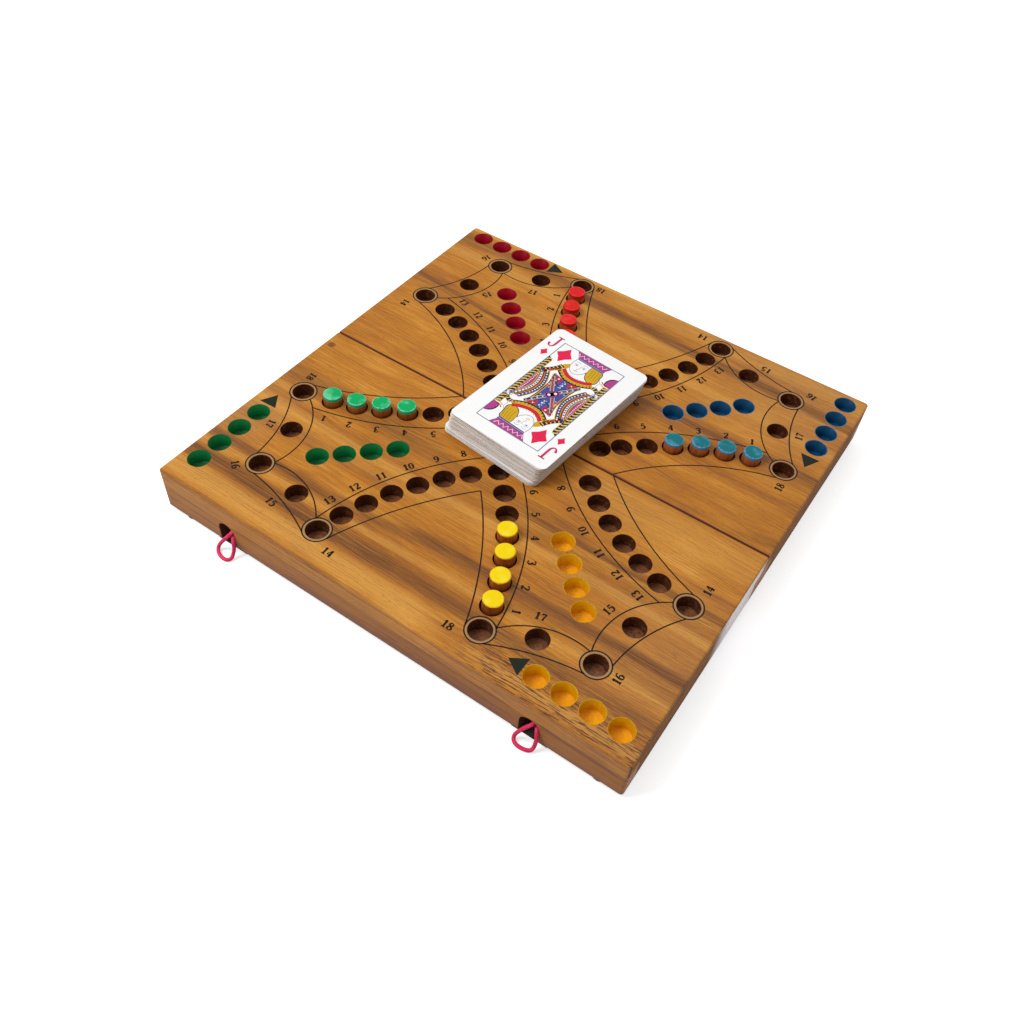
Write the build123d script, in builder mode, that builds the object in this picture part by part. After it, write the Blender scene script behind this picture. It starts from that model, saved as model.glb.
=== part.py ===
"""Folding tock board: two hinged wooden halves, drilled for pegs on top and hollow below.

Millimetres. +Z is up, +Y runs from the front edge to the back edge, +X to the right.
The origin lies on the table under the middle of the board, on the seam between the halves.
The board lies open, with four sets of pegs in their first track holes and a pack of cards on it.
"""

import math
import os
from build123d import *

os.makedirs("parts", exist_ok=True)


# Driving dimensions of the board
board_width = 255.0
half_depth = 127.0
seam_gap = 0.4
wood_height = 25.0
panel_thickness = 10.2
free_rail_width = 10.0
seam_rail_width = 9.0
side_rail_width = 9.0
top_edge_radius = 1.0
seam_edge_chamfer = 0.4
corner_radius = 1.6
rim_edge_chamfer = 0.6

# Felt feet, which carry the open board and keep the folded halves apart
foot_radius = 4.0
foot_fold_clearance = 0.1
front_foot_margin = 12.5
back_foot_margin = 29.5

# Peg holes and pegs
hole_radius = 5.5
hole_depth = 7.5
peg_clearance = 0.75
peg_length = 12.8
peg_top_radius = 0.7
peg_foot_chamfer = 0.5
peg_floor_clearance = 0.05
peg_lean_degrees = (2.2, 1.2, 2.6, 1.6)
peg_lean_direction = {"green": 125.0, "yellow": 105.0, "blue": 70.0, "red": 95.0}
peg_lean_spread = 35.0

# Track pattern, in one quarter: hole centres near the middle are measured from the middle of the pattern
pattern_y = 3.7
arm_hole_count = 6
front_apex = (0.0, 35.5)
front_arm_inner = (9.8, 45.1)
front_arm_bow = -3.55
side_apex = (30.6, 7.6)
side_arm_inner = (38.7, 15.1)
side_arm_bow = 3.46

# Track pattern: hole centres near the edges follow the two edge rings, and each step leads inwards
back_ring_margin = 9.4
front_ring_x = 44.8
front_ring_step = (3.1, 12.9)
side_ring_margin = 17.2
side_ring_y = 50.5
side_ring_step = (16.4, 3.4)
corner_ring_step = (17.4, 14.4)
corner_by_front_x = 66.7
corner_by_front_step = 10.6
corner_by_side_y = 74.1
corner_by_side_step = 13.6

# Home rows, between each corner ring and the middle, and start rows, which begin at the corners
home_count = 4
home_ring_step = (18.1, 19.5)
home_step = (9.13, 9.06)
start_count = 4
side_start_margin = 10.0
side_start_corner = 8.9
side_start_step = 13.2
front_start_margin = 12.0
back_start_margin = 7.4
front_start_corner = 11.1
front_start_step = 13.5

# Hinges
hinge_x = 75.0
hinge_length = 24.0
hinge_leaf_thickness = 0.8
hinge_leaf_height = 12.0
knuckle_radius = 1.3
knuckle_floor_clearance = 0.1
knuckle_gap = 0.15
knuckle_leaf_clearance = 0.3
hinge_pin_radius = 0.7
pin_fixed_clearance = 0.02
pin_running_clearance = 0.06
mortise_clearance = 0.05
hinge_screw_spacing = 16.0
hinge_screw_drop = 5.2

# Wood screws
screw_radius = 1.1
screw_head_radius = 2.0
screw_head_setback = 0.08
screw_tip_chamfer = 0.65
screw_length = 7.0
screw_fit = 0.02
screw_slot_width = 0.45
screw_slot_depth = 0.3

# Notches for the closing loops, and their catches on the other half
left_notch_margin = 40.5
right_notch_margin = 45.5
notch_width = 10.0
notch_roof = 1.0
catch_pocket_depth = 6.0
catch_pin_radius = 1.4
catch_head_radius = 2.6
catch_head_height = 1.2
catch_head_rounding = 0.7
catch_bore_depth = 3.5
catch_height = 8.5
catch_setback = 0.2

# Elastic closing loops, knotted round a screw behind the front rail
cord_diameter = 1.8
cord_arc_share = 0.45
knot_offset_x = 8.5
knot_width = 6.0
knot_depth = 3.4
knot_height = 5.2
knot_rounding = 0.8
knot_level = 12.7
knot_seat_clearance = 0.05
knot_bore_clearance = 0.05
loop_screw_head_radius = 2.6
loop_screw_head_height = 1.6
loop_screw_rounding = 0.9
loop_screw_bite = 7.0

# Pack of cards
card_width = 57.5
card_length = 88.0
card_thickness = 0.26
card_corner_radius = 3.5
card_count = 54
deck_centre = (-2.6, 16.3)
deck_turn = -5.3
deck_seat_clearance = 0.05

# How the cards lie out of line: a slant from top to bottom, two packets pushed aside, and a little wander
deck_slant = (-2.2, -0.5)
card_wander = 0.16
card_wander_turn = 0.25
bottom_packet = 12
bottom_packet_shift = (-0.7, -0.6)
bottom_packet_turn = -0.5
top_packet = 4
top_packet_shift = (0.5, -0.2)

# Levels, edges and places that follow from the sizes above
fold_axis_z = knuckle_radius + knuckle_floor_clearance
foot_height = 2 * fold_axis_z + foot_fold_clearance
rim_z = foot_height
panel_bottom_z = rim_z + wood_height - panel_thickness
top_z = rim_z + wood_height
rail_height = wood_height - panel_thickness
notch_height = rail_height - notch_roof
seam_y = seam_gap / 2
free_y = seam_y + half_depth
half_width = board_width / 2
rail_inner_y = free_y - free_rail_width
hole_floor_z = top_z - hole_depth
peg_radius = hole_radius - peg_clearance
notch_x = (left_notch_margin - half_width, half_width - right_notch_margin)


def save(part, name):
    """Label a finished piece and write its file."""
    part.label = name
    export_step(part, f"parts/{name}.step")


def arc_points(inner, outer, bow):
    """Evenly spaced hole centres along an arc with the given rise, inner one first."""
    with BuildLine() as arm:
        SagittaArc(inner, outer, bow)
    return [tuple(arm.line @ (i / (arm_hole_count - 1)))[:2] for i in range(arm_hole_count)]


def inwards(place, step):
    """A place nearer to the middle than the given one, within the quarter."""
    return (place[0] - step[0], place[1] - step[1])


def on_board(x_side, y_side, points):
    """Places of quarter-pattern points in one quarter of the board."""
    return [(x_side * x, pattern_y + y_side * y) for x, y in points]


# Hole centres of the quarter pattern
reach_x = half_width - side_ring_margin
reach_y = free_y - pattern_y - back_ring_margin
front_ring = (front_ring_x, reach_y)
side_ring = (reach_x, side_ring_y)
corner_ring = inwards((reach_x, reach_y), corner_ring_step)
corner_by_front = (corner_by_front_x, reach_y - corner_by_front_step)
corner_by_side = (reach_x - corner_by_side_step, corner_by_side_y)
front_arm = arc_points(front_arm_inner, inwards(front_ring, front_ring_step), front_arm_bow)
side_arm = arc_points(side_arm_inner, inwards(side_ring, side_ring_step), side_arm_bow)
home_outer = inwards(corner_ring, home_ring_step)
home_row = [inwards(home_outer, (i * home_step[0], i * home_step[1])) for i in range(home_count)]
single_holes = [front_ring, side_ring, corner_by_front, corner_ring, corner_by_side]
quarter_points = front_arm + side_arm + home_row + single_holes


def start_row(colour):
    """The four parking holes of one colour, along the edge of its own quarter."""
    side_x = half_width - side_start_margin
    side_y = [free_y - pattern_y - side_start_corner - i * side_start_step for i in range(start_count)]
    front_x = [half_width - front_start_corner - i * front_start_step for i in range(start_count)]
    if colour == "green":
        return on_board(-1, -1, [(side_x, y) for y in side_y])
    if colour == "blue":
        return on_board(1, 1, [(side_x, y) for y in side_y])
    if colour == "yellow":
        return [(x, front_start_margin - free_y) for x in front_x]
    return [(-x, free_y - back_start_margin) for x in front_x]


front_holes = (
    on_board(-1, -1, quarter_points)
    + on_board(1, -1, quarter_points)
    + on_board(1, -1, [front_apex])
    + on_board(-1, -1, [side_apex])
    + start_row("green")
    + start_row("yellow")
)
back_holes = (
    on_board(-1, 1, quarter_points)
    + on_board(1, 1, quarter_points)
    + on_board(1, 1, [front_apex])
    + on_board(1, 1, [side_apex])
    + start_row("blue")
    + start_row("red")
)


# Playing panels: one glued-up board on each half, drilled for the pegs


def playing_panel(side, holes):
    """Top board of one half; side is -1 for the front half and 1 for the back half."""
    middle_y = side * (seam_y + half_depth / 2)
    with BuildPart() as panel:
        with BuildSketch(Plane.XY.offset(panel_bottom_z)):
            with Locations((0, middle_y)):
                Rectangle(board_width, half_depth)
        extrude(amount=panel_thickness)
        free_corners = panel.edges().filter_by(Axis.Z).group_by(Axis.Y)[0 if side < 0 else -1]
        fillet(free_corners, corner_radius)
        top_edges = panel.faces().sort_by(Axis.Z)[-1].edges().sort_by(lambda edge: abs(edge.center().Y))
        fillet(top_edges[1:], top_edge_radius)
        long_top_edges = panel.edges().filter_by(Axis.X).group_by(Axis.Z)[-1]
        chamfer(long_top_edges.sort_by(lambda edge: abs(edge.center().Y))[0], seam_edge_chamfer)
        with Locations([(x, y, top_z) for x, y in holes]):
            Hole(hole_radius, depth=hole_depth)
    return panel.part


save(playing_panel(-1, front_holes), "front_panel")
save(playing_panel(1, back_holes), "back_panel")


# Rails under the panels, which make the storage trays


def notch_outline(centre_x):
    """Inverted U, open at the rim, drawn in the XZ plane at one notch. Used inside a sketch."""
    with Locations((centre_x, rim_z + (notch_height - notch_width / 2) / 2)):
        Rectangle(notch_width, notch_height - notch_width / 2)
    with Locations((centre_x, rim_z + notch_height - notch_width / 2)):
        Circle(notch_width / 2)


def free_rim_edge(rail, side):
    """Outer long edge at the rim of a rail on the free side."""
    rim_edges = rail.edges().filter_by(Axis.X).group_by(Axis.Z)[0]
    return rim_edges.sort_by(lambda edge: side * edge.center().Y)[-1]


with BuildPart() as front_free_rail:
    with BuildSketch(Plane.XY.offset(rim_z)):
        with Locations((0, -(free_y - free_rail_width / 2))):
            Rectangle(board_width, free_rail_width)
    extrude(amount=rail_height)
    fillet(front_free_rail.edges().filter_by(Axis.Z).group_by(Axis.Y)[0], corner_radius)
    chamfer(free_rim_edge(front_free_rail, -1), rim_edge_chamfer)
    with BuildSketch(Plane.XZ.offset(rail_inner_y)):
        for centre in notch_x:
            notch_outline(centre)
    extrude(amount=free_rail_width, mode=Mode.SUBTRACT)
    with BuildSketch(Plane.XZ.offset(rail_inner_y)):
        with Locations([(centre + knot_offset_x, knot_level) for centre in notch_x]):
            Circle(screw_radius + screw_fit)
    extrude(amount=loop_screw_bite + screw_fit, mode=Mode.SUBTRACT)
save(front_free_rail.part, "front_free_rail")

with BuildPart() as back_free_rail:
    with BuildSketch(Plane.XY.offset(rim_z)):
        with Locations((0, free_y - free_rail_width / 2)):
            Rectangle(board_width, free_rail_width)
    extrude(amount=rail_height)
    fillet(back_free_rail.edges().filter_by(Axis.Z).group_by(Axis.Y)[-1], corner_radius)
    chamfer(free_rim_edge(back_free_rail, 1), rim_edge_chamfer)
    with BuildSketch(Plane.XZ.offset(-free_y)):
        for centre in notch_x:
            notch_outline(centre)
    extrude(amount=catch_pocket_depth, mode=Mode.SUBTRACT)
    with BuildSketch(Plane.XZ.offset(catch_pocket_depth - free_y)):
        with Locations([(centre, rim_z + catch_height) for centre in notch_x]):
            Circle(catch_pin_radius + screw_fit)
    extrude(amount=catch_bore_depth, mode=Mode.SUBTRACT)
save(back_free_rail.part, "back_free_rail")

leaf_top_z = rim_z + hinge_leaf_height
hinge_screw_z = leaf_top_z - hinge_screw_drop
screw_offsets = (-hinge_screw_spacing / 2, hinge_screw_spacing / 2)
hinge_screw_x = [hinge + offset for hinge in (-hinge_x, hinge_x) for offset in screw_offsets]


def seam_rail(side):
    """Rail along the seam, with a mortise for each hinge leaf and pilot holes for its screws."""
    into_rail = Plane(origin=(0, side * seam_y, 0), x_dir=(1, 0, 0), z_dir=(0, side, 0))
    mortise_length = hinge_length + 2 * mortise_clearance
    mortise_height = hinge_leaf_height + 2 * mortise_clearance
    with BuildPart() as rail:
        with BuildSketch(Plane.XY.offset(rim_z)):
            with Locations((0, side * (seam_y + seam_rail_width / 2))):
                Rectangle(board_width, seam_rail_width)
        extrude(amount=rail_height)
        with BuildSketch(into_rail):
            with Locations([(x, -side * (rim_z + hinge_leaf_height / 2)) for x in (-hinge_x, hinge_x)]):
                Rectangle(mortise_length, mortise_height)
        extrude(amount=hinge_leaf_thickness, mode=Mode.SUBTRACT)
        with BuildSketch(into_rail):
            with Locations([(x, -side * hinge_screw_z) for x in hinge_screw_x]):
                Circle(screw_radius + screw_fit)
        extrude(amount=screw_length + screw_fit, mode=Mode.SUBTRACT)
    return rail.part


def side_rail(x_side, y_side):
    """Short rail between the seam rail and the free rail."""
    inner = seam_y + seam_rail_width
    length = rail_inner_y - inner
    with BuildPart() as rail:
        with BuildSketch(Plane.XY.offset(rim_z)):
            with Locations((x_side * (half_width - side_rail_width / 2), y_side * (inner + length / 2))):
                Rectangle(side_rail_width, length)
        extrude(amount=rail_height)
        rim_edges = rail.edges().filter_by(Axis.Y).group_by(Axis.Z)[0]
        chamfer(rim_edges.sort_by(lambda edge: abs(edge.center().X))[-1], rim_edge_chamfer)
    return rail.part


for half_name, half_side in (("front", -1), ("back", 1)):
    save(seam_rail(half_side), f"{half_name}_seam_rail")
    for rail_name, rail_side in (("left", -1), ("right", 1)):
        save(side_rail(rail_side, half_side), f"{half_name}_{rail_name}_rail")


# Felt feet: those of one half stand between those of the other when the board is folded


def felt_feet(side, end_margin):
    """Four discs under the rails of one half."""
    foot_x = half_width - end_margin
    with BuildPart() as feet:
        with BuildSketch():
            for y in (free_y - free_rail_width / 2, seam_y + seam_rail_width / 2):
                with Locations((-foot_x, side * y), (foot_x, side * y)):
                    Circle(foot_radius)
        extrude(amount=foot_height)
    return feet.part


save(felt_feet(-1, front_foot_margin), "front_feet")
save(felt_feet(1, back_foot_margin), "back_feet")


# Hinges: the front leaf carries the outer knuckles and the pin, the back leaf the middle knuckle

knuckle_length = (hinge_length - 2 * knuckle_gap) / 3
knuckle_pitch = knuckle_length + knuckle_gap
leaf_bottom_z = fold_axis_z + knuckle_radius + knuckle_leaf_clearance
screw_head_depth = hinge_leaf_thickness - screw_head_setback
screw_head_angle = 2 * math.degrees(math.atan((screw_head_radius - screw_radius) / screw_head_depth))


def hinge_leaf(side, centre_x, knuckle_places, bore_radius):
    """One leaf, let into the seam face, with its knuckles round the fold axis."""
    leaf_y = side * (seam_y + hinge_leaf_thickness / 2)
    screw_level = (centre_x, side * seam_y, hinge_screw_z)
    screw_plane = Plane(origin=screw_level, x_dir=(1, 0, 0), z_dir=(0, -side, 0))
    with BuildPart() as leaf:
        with Locations((centre_x, leaf_y, (leaf_bottom_z + leaf_top_z) / 2)):
            Box(hinge_length, hinge_leaf_thickness, leaf_top_z - leaf_bottom_z)
        for place in knuckle_places:
            knuckle_x = centre_x + place * knuckle_pitch
            with Locations((knuckle_x, leaf_y, (fold_axis_z + leaf_bottom_z) / 2)):
                Box(knuckle_length, hinge_leaf_thickness, leaf_bottom_z - fold_axis_z)
            with Locations((knuckle_x, 0, fold_axis_z)):
                Cylinder(knuckle_radius, knuckle_length, rotation=(0, 90, 0))
        with Locations((centre_x, 0, fold_axis_z)):
            Cylinder(bore_radius, hinge_length, rotation=(0, 90, 0), mode=Mode.SUBTRACT)
        with Locations(screw_plane):
            with Locations([(offset, 0) for offset in screw_offsets]):
                CounterSinkHole(
                    radius=screw_radius + screw_fit,
                    counter_sink_radius=screw_head_radius + screw_fit,
                    depth=hinge_leaf_thickness,
                    counter_sink_angle=screw_head_angle,
                )
    return leaf.part


def hinge_screws(side):
    """Four countersunk screws, which hold the two leaves of one half."""
    with BuildPart() as screws:
        for x in hinge_screw_x:
            into_rail = Plane(origin=(x, side * seam_y, hinge_screw_z), x_dir=(1, 0, 0), z_dir=(0, side, 0))
            with BuildSketch(into_rail):
                Circle(screw_head_radius)
            with BuildSketch(into_rail.offset(screw_head_depth)):
                Circle(screw_radius)
            loft()
            with BuildSketch(into_rail.offset(screw_head_depth)):
                Circle(screw_radius)
            extrude(amount=screw_length - screw_head_depth)
            with BuildSketch(into_rail):
                Rectangle(3 * screw_head_radius, screw_slot_width)
            extrude(amount=screw_slot_depth, mode=Mode.SUBTRACT)
        tips = screws.faces().sort_by(lambda face: abs(face.center().Y))[-len(hinge_screw_x):]
        chamfer(tips.edges(), screw_tip_chamfer)
    return screws.part


for hinge_name, centre in (("left", -hinge_x), ("right", hinge_x)):
    fixed_bore = hinge_pin_radius + pin_fixed_clearance
    running_bore = hinge_pin_radius + pin_running_clearance
    save(hinge_leaf(-1, centre, (-1, 1), fixed_bore), f"{hinge_name}_hinge_front_leaf")
    save(hinge_leaf(1, centre, (0,), running_bore), f"{hinge_name}_hinge_back_leaf")
    with BuildPart() as hinge_pin:
        with Locations((centre, 0, fold_axis_z)):
            Cylinder(hinge_pin_radius, hinge_length, rotation=(0, 90, 0))
    save(hinge_pin.part, f"{hinge_name}_hinge_pin")

save(hinge_screws(-1), "hinge_screws_front")
save(hinge_screws(1), "hinge_screws_back")


# Catch pins, standing in blind pockets of the back rail, flush with its face

with BuildPart() as catch_pins:
    catch_face_y = free_y - catch_setback
    pocket_floor_y = free_y - catch_pocket_depth
    for centre in notch_x:
        head_place = (centre, catch_face_y, rim_z + catch_height)
        from_face = Plane(origin=head_place, x_dir=(1, 0, 0), z_dir=(0, -1, 0))
        with BuildSketch(from_face):
            Circle(catch_head_radius)
        extrude(amount=catch_head_height)
        with BuildSketch(from_face.offset(catch_head_height)):
            Circle(catch_pin_radius)
        extrude(amount=catch_face_y - catch_head_height - pocket_floor_y + catch_bore_depth)
    head_rims = catch_pins.edges().filter_by(GeomType.CIRCLE).group_by(Axis.Y)[-1]
    fillet(head_rims, catch_head_rounding)
save(catch_pins.part, "catch_pins")


# Closing loops of elastic cord, with their knots and the screws that hold them

knot_near_y = -rail_inner_y + knot_seat_clearance
knot_far_y = knot_near_y + knot_depth

with BuildPart() as loop_knots:
    for centre in notch_x:
        with Locations((centre + knot_offset_x, (knot_near_y + knot_far_y) / 2, knot_level)):
            Box(knot_width, knot_depth, knot_height)
    fillet(loop_knots.edges().filter_by(Axis.Y), knot_rounding)
    with BuildSketch(Plane.XZ.offset(-knot_far_y)):
        with Locations([(centre + knot_offset_x, knot_level) for centre in notch_x]):
            Circle(screw_radius + knot_bore_clearance)
    extrude(amount=knot_depth, mode=Mode.SUBTRACT)
save(loop_knots.part, "loop_knots")

with BuildPart() as loop_screws:
    loop_screw_places = [(centre + knot_offset_x, knot_level) for centre in notch_x]
    head_seat_y = knot_far_y + knot_seat_clearance
    with BuildSketch(Plane.XZ.offset(-head_seat_y - loop_screw_head_height)):
        with Locations(loop_screw_places):
            Circle(loop_screw_head_radius)
    extrude(amount=loop_screw_head_height)
    fillet(loop_screws.edges().group_by(Axis.Y)[-1], loop_screw_rounding)
    with BuildSketch(Plane.XZ.offset(-head_seat_y)):
        with Locations(loop_screw_places):
            Circle(screw_radius)
    extrude(amount=head_seat_y + rail_inner_y + loop_screw_bite)
save(loop_screws.part, "loop_screws")

# Route of each loop, chosen by hand: x from the notch's centre, y from the front face, z above the table
# Both strands leave the knot, turn through the notch near its right wall and droop to the table
left_loop_route = [
    (5.5, 11.75, 13.75),
    (4.2, 11.75, 13.75),
    (3.0, 10.6, 13.9),
    (2.6, 7.6, 14.2),
    (2.5, 1.8, 14.0),
    (1.7, -1.3, 12.7),
    (-0.6, -2.1, 9.4),
    (-3.2, -2.5, 5.8),
    (-4.9, -3.2, 2.9),
    (-5.2, -4.6, 1.3),
    (-3.4, -6.4, 1.0),
    (-0.2, -7.4, 1.05),
    (3.1, -7.2, 1.0),
    (5.4, -5.4, 1.3),
    (6.7, -3.5, 4.2),
    (7.0, -2.6, 8.0),
    (6.1, -2.4, 10.6),
    (4.4, -1.5, 12.0),
    (3.7, 1.2, 12.2),
    (3.4, 5.2, 12.0),
    (3.4, 9.2, 11.8),
    (3.6, 10.9, 11.65),
    (4.4, 11.75, 11.65),
    (5.5, 11.75, 11.65),
]
right_loop_route = [
    (5.5, 11.75, 13.75),
    (4.2, 11.75, 13.75),
    (3.0, 10.6, 13.9),
    (2.6, 7.6, 14.2),
    (2.3, 1.8, 13.9),
    (1.2, -1.2, 12.6),
    (-1.6, -2.0, 10.0),
    (-4.2, -2.3, 6.9),
    (-5.3, -2.6, 3.6),
    (-4.9, -3.6, 1.5),
    (-2.9, -4.9, 1.0),
    (-0.1, -5.6, 1.05),
    (2.8, -5.4, 1.0),
    (4.9, -4.2, 1.5),
    (5.9, -3.0, 4.1),
    (6.4, -2.4, 7.4),
    (6.0, -2.3, 10.2),
    (4.4, -1.5, 11.9),
    (3.7, 1.2, 12.2),
    (3.4, 5.2, 12.0),
    (3.4, 9.2, 11.8),
    (3.6, 10.9, 11.65),
    (4.4, 11.75, 11.65),
    (5.5, 11.75, 11.65),
]


def closing_loop(route, centre_x, name):
    """Tube along straight runs joined by arcs as large as the runs allow."""
    points = [Vector(centre_x + x, y - free_y, z) for x, y, z in route]
    runs = [after - before for before, after in zip(points, points[1:])]
    radii = []
    for before, after in zip(runs, runs[1:]):
        half_turn = math.radians(before.get_angle(after)) / 2
        radii.append(cord_arc_share * min(before.length, after.length) / math.tan(half_turn))
    with BuildPart() as loop:
        with BuildLine() as path:
            FilletPolyline(*points, radius=radii)
        line = path.wire()
        with BuildSketch(Plane(origin=line @ 0, z_dir=line % 0)):
            Circle(cord_diameter / 2)
        sweep(path=line)
    ideal = math.pi * (cord_diameter / 2) ** 2 * line.length
    print(name, "length", round(line.length, 2), "volume share", round(loop.part.volume / ideal, 4))
    print(name, "arc radii", [round(radius, 1) for radius in radii])
    return loop.part


for loop_name, centre, route in (
    ("closing_loop_left", notch_x[0], left_loop_route),
    ("closing_loop_right", notch_x[1], right_loop_route),
):
    save(closing_loop(route, centre, loop_name), loop_name)


# Pegs: four dowels of each colour in track holes 1 to 4 of its own arm, each leaning a little its own way

peg_arms = {
    "green": on_board(-1, -1, side_arm),
    "yellow": on_board(1, -1, front_arm),
    "blue": on_board(1, 1, side_arm),
    "red": on_board(-1, 1, front_arm),
}


def peg(x, y, lean, direction):
    """One dowel standing on the hole's floor, leaning towards a direction measured from +X."""
    turn = math.radians(direction)
    tilt = math.radians(lean)
    axis = Vector(math.sin(tilt) * math.cos(turn), math.sin(tilt) * math.sin(turn), math.cos(tilt))
    foot_z = hole_floor_z + peg_floor_clearance + peg_radius * math.sin(tilt)
    foot_plane = Plane(origin=(x, y, foot_z), z_dir=axis)
    with BuildPart() as dowel:
        with BuildSketch(foot_plane):
            Circle(peg_radius)
        extrude(amount=peg_length)
        rims = dowel.edges().filter_by(GeomType.CIRCLE).sort_by(Axis.Z)
        fillet(rims[-1], peg_top_radius)
        chamfer(rims[0], peg_foot_chamfer)
    return dowel.part


for colour, arm in peg_arms.items():
    outer_first = list(reversed(arm))
    for number, lean in enumerate(peg_lean_degrees):
        hole_x, hole_y = outer_first[number]
        direction = peg_lean_direction[colour] + peg_lean_spread * (number - 1.5)
        save(peg(hole_x, hole_y, lean, direction), f"{colour}_peg_{number + 1}")


# Pack of cards: each card lies flat on the one below, a little out of line with it


def card_plane(index):
    """Plane of one card's underside, index 0 at the bottom of the pack."""
    below_top = 1 - index / (card_count - 1)
    shift_x = deck_slant[0] * below_top + card_wander * math.sin(2.3 * index)
    shift_y = deck_slant[1] * below_top + card_wander * math.sin(1.7 * index + 1)
    turn = card_wander_turn * math.sin(1.1 * index)
    if index < bottom_packet:
        shift_x += bottom_packet_shift[0]
        shift_y += bottom_packet_shift[1]
        turn += bottom_packet_turn
    if index >= card_count - top_packet:
        shift_x += top_packet_shift[0]
        shift_y += top_packet_shift[1]
    level = top_z + deck_seat_clearance + index * card_thickness
    centre = (deck_centre[0] + shift_x, deck_centre[1] + shift_y, level)
    angle = math.radians(deck_turn + turn)
    return Plane(origin=centre, x_dir=(math.cos(angle), math.sin(angle), 0), z_dir=(0, 0, 1))


def playing_card(index):
    """One card with rounded corners, in its place in the pack."""
    with BuildPart() as one_card:
        with BuildSketch(card_plane(index)):
            RectangleRounded(card_width, card_length, card_corner_radius)
        extrude(amount=card_thickness)
    return one_card.part


save(playing_card(card_count - 1), "top_card")
lower_cards = [playing_card(index).solid() for index in range(card_count - 1)]
save(Compound(children=lower_cards), "card_stack")
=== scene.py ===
"""Folding tock board of oiled wood, with its printed track, pegs, playing cards, hinges and elastic loops.

Shapes are drawn in millimetres, and become metres when a piece is finished.
"""

import math
import bmesh
import bpy
from mathutils import Matrix, Vector, noise


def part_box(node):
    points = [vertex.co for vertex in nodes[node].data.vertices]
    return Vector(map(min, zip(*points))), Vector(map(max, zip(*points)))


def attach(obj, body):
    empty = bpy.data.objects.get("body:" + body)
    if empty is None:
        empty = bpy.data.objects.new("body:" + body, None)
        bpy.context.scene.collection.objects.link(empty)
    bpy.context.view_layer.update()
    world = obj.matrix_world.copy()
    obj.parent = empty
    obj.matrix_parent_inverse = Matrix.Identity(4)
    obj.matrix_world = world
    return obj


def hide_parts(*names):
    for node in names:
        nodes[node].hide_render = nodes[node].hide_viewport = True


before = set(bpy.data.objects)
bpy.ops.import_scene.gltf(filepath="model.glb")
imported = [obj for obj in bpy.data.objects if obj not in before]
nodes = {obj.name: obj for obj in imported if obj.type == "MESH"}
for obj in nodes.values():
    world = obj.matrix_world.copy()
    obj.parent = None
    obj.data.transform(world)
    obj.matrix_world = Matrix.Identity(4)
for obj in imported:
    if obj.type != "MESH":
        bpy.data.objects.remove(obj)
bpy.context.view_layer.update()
scene = bpy.context.scene
MM = 0.001


# Sizes read from the frame
half_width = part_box("front_panel")[1].x / MM
free_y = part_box("back_panel")[1].y / MM
top_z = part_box("front_panel")[1].z / MM
foot_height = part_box("front_feet")[1].z / MM

# Middles of the two notches for the closing loops
notch_x = (-87.0, 82.0)

# Peg holes
hole_radius = 5.5
hole_depth = 7.5
hole_floor_z = top_z - hole_depth

# Camera, at the photograph's viewing angle
camera_place = (0.165098, -0.300771, 0.369377)
camera_turn_degrees = (40.32635, -3.51991, 34.23373)
camera_lens = 34.1618
sensor_width = 36.0


def add_camera():
    """The camera that sees the board from its front right corner."""
    data = bpy.data.cameras.new("photo_camera")
    data.lens = camera_lens
    data.sensor_width = sensor_width
    camera = bpy.data.objects.new("photo_camera", data)
    camera.location = camera_place
    camera.rotation_euler = [math.radians(angle) for angle in camera_turn_degrees]
    scene.collection.objects.link(camera)
    scene.camera = camera


add_camera()


# Shader maths: sums on sockets, written as Python expressions


class Value:
    """A number or vector socket that takes part in sums. Each operator adds a Math node."""

    def __init__(self, finish, socket):
        self.finish = finish
        self.socket = socket

    def math(self, operation, *values):
        return self.finish.node("ShaderNodeMath", {"operation": operation}, values)

    def __add__(self, other):
        return self.math("ADD", self, other)

    def __radd__(self, other):
        return self.math("ADD", other, self)

    def __sub__(self, other):
        return self.math("SUBTRACT", self, other)

    def __rsub__(self, other):
        return self.math("SUBTRACT", other, self)

    def __mul__(self, other):
        return self.math("MULTIPLY", self, other)

    def __rmul__(self, other):
        return self.math("MULTIPLY", other, self)

    def __truediv__(self, other):
        return self.math("DIVIDE", self, other)

    def __abs__(self):
        return self.math("ABSOLUTE", self)

    def above(self, limit):
        """1 where the value is over the limit."""
        return self.math("GREATER_THAN", self, limit)

    def below(self, limit):
        """1 where the value is under the limit."""
        return self.math("LESS_THAN", self, limit)

    def most(self, other):
        return self.math("MAXIMUM", self, other)

    def least(self, other):
        return self.math("MINIMUM", self, other)

    def sine(self):
        return self.math("SINE", self)

    def rise(self, low, high):
        """0 below low and 1 above high, with a smooth step between. Falls where low is over high."""
        settings = {"interpolation_type": "SMOOTHSTEP", "clamp": True}
        inputs = {"Value": self, "From Min": low, "From Max": high}
        return self.finish.node("ShaderNodeMapRange", settings, inputs)


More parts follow.
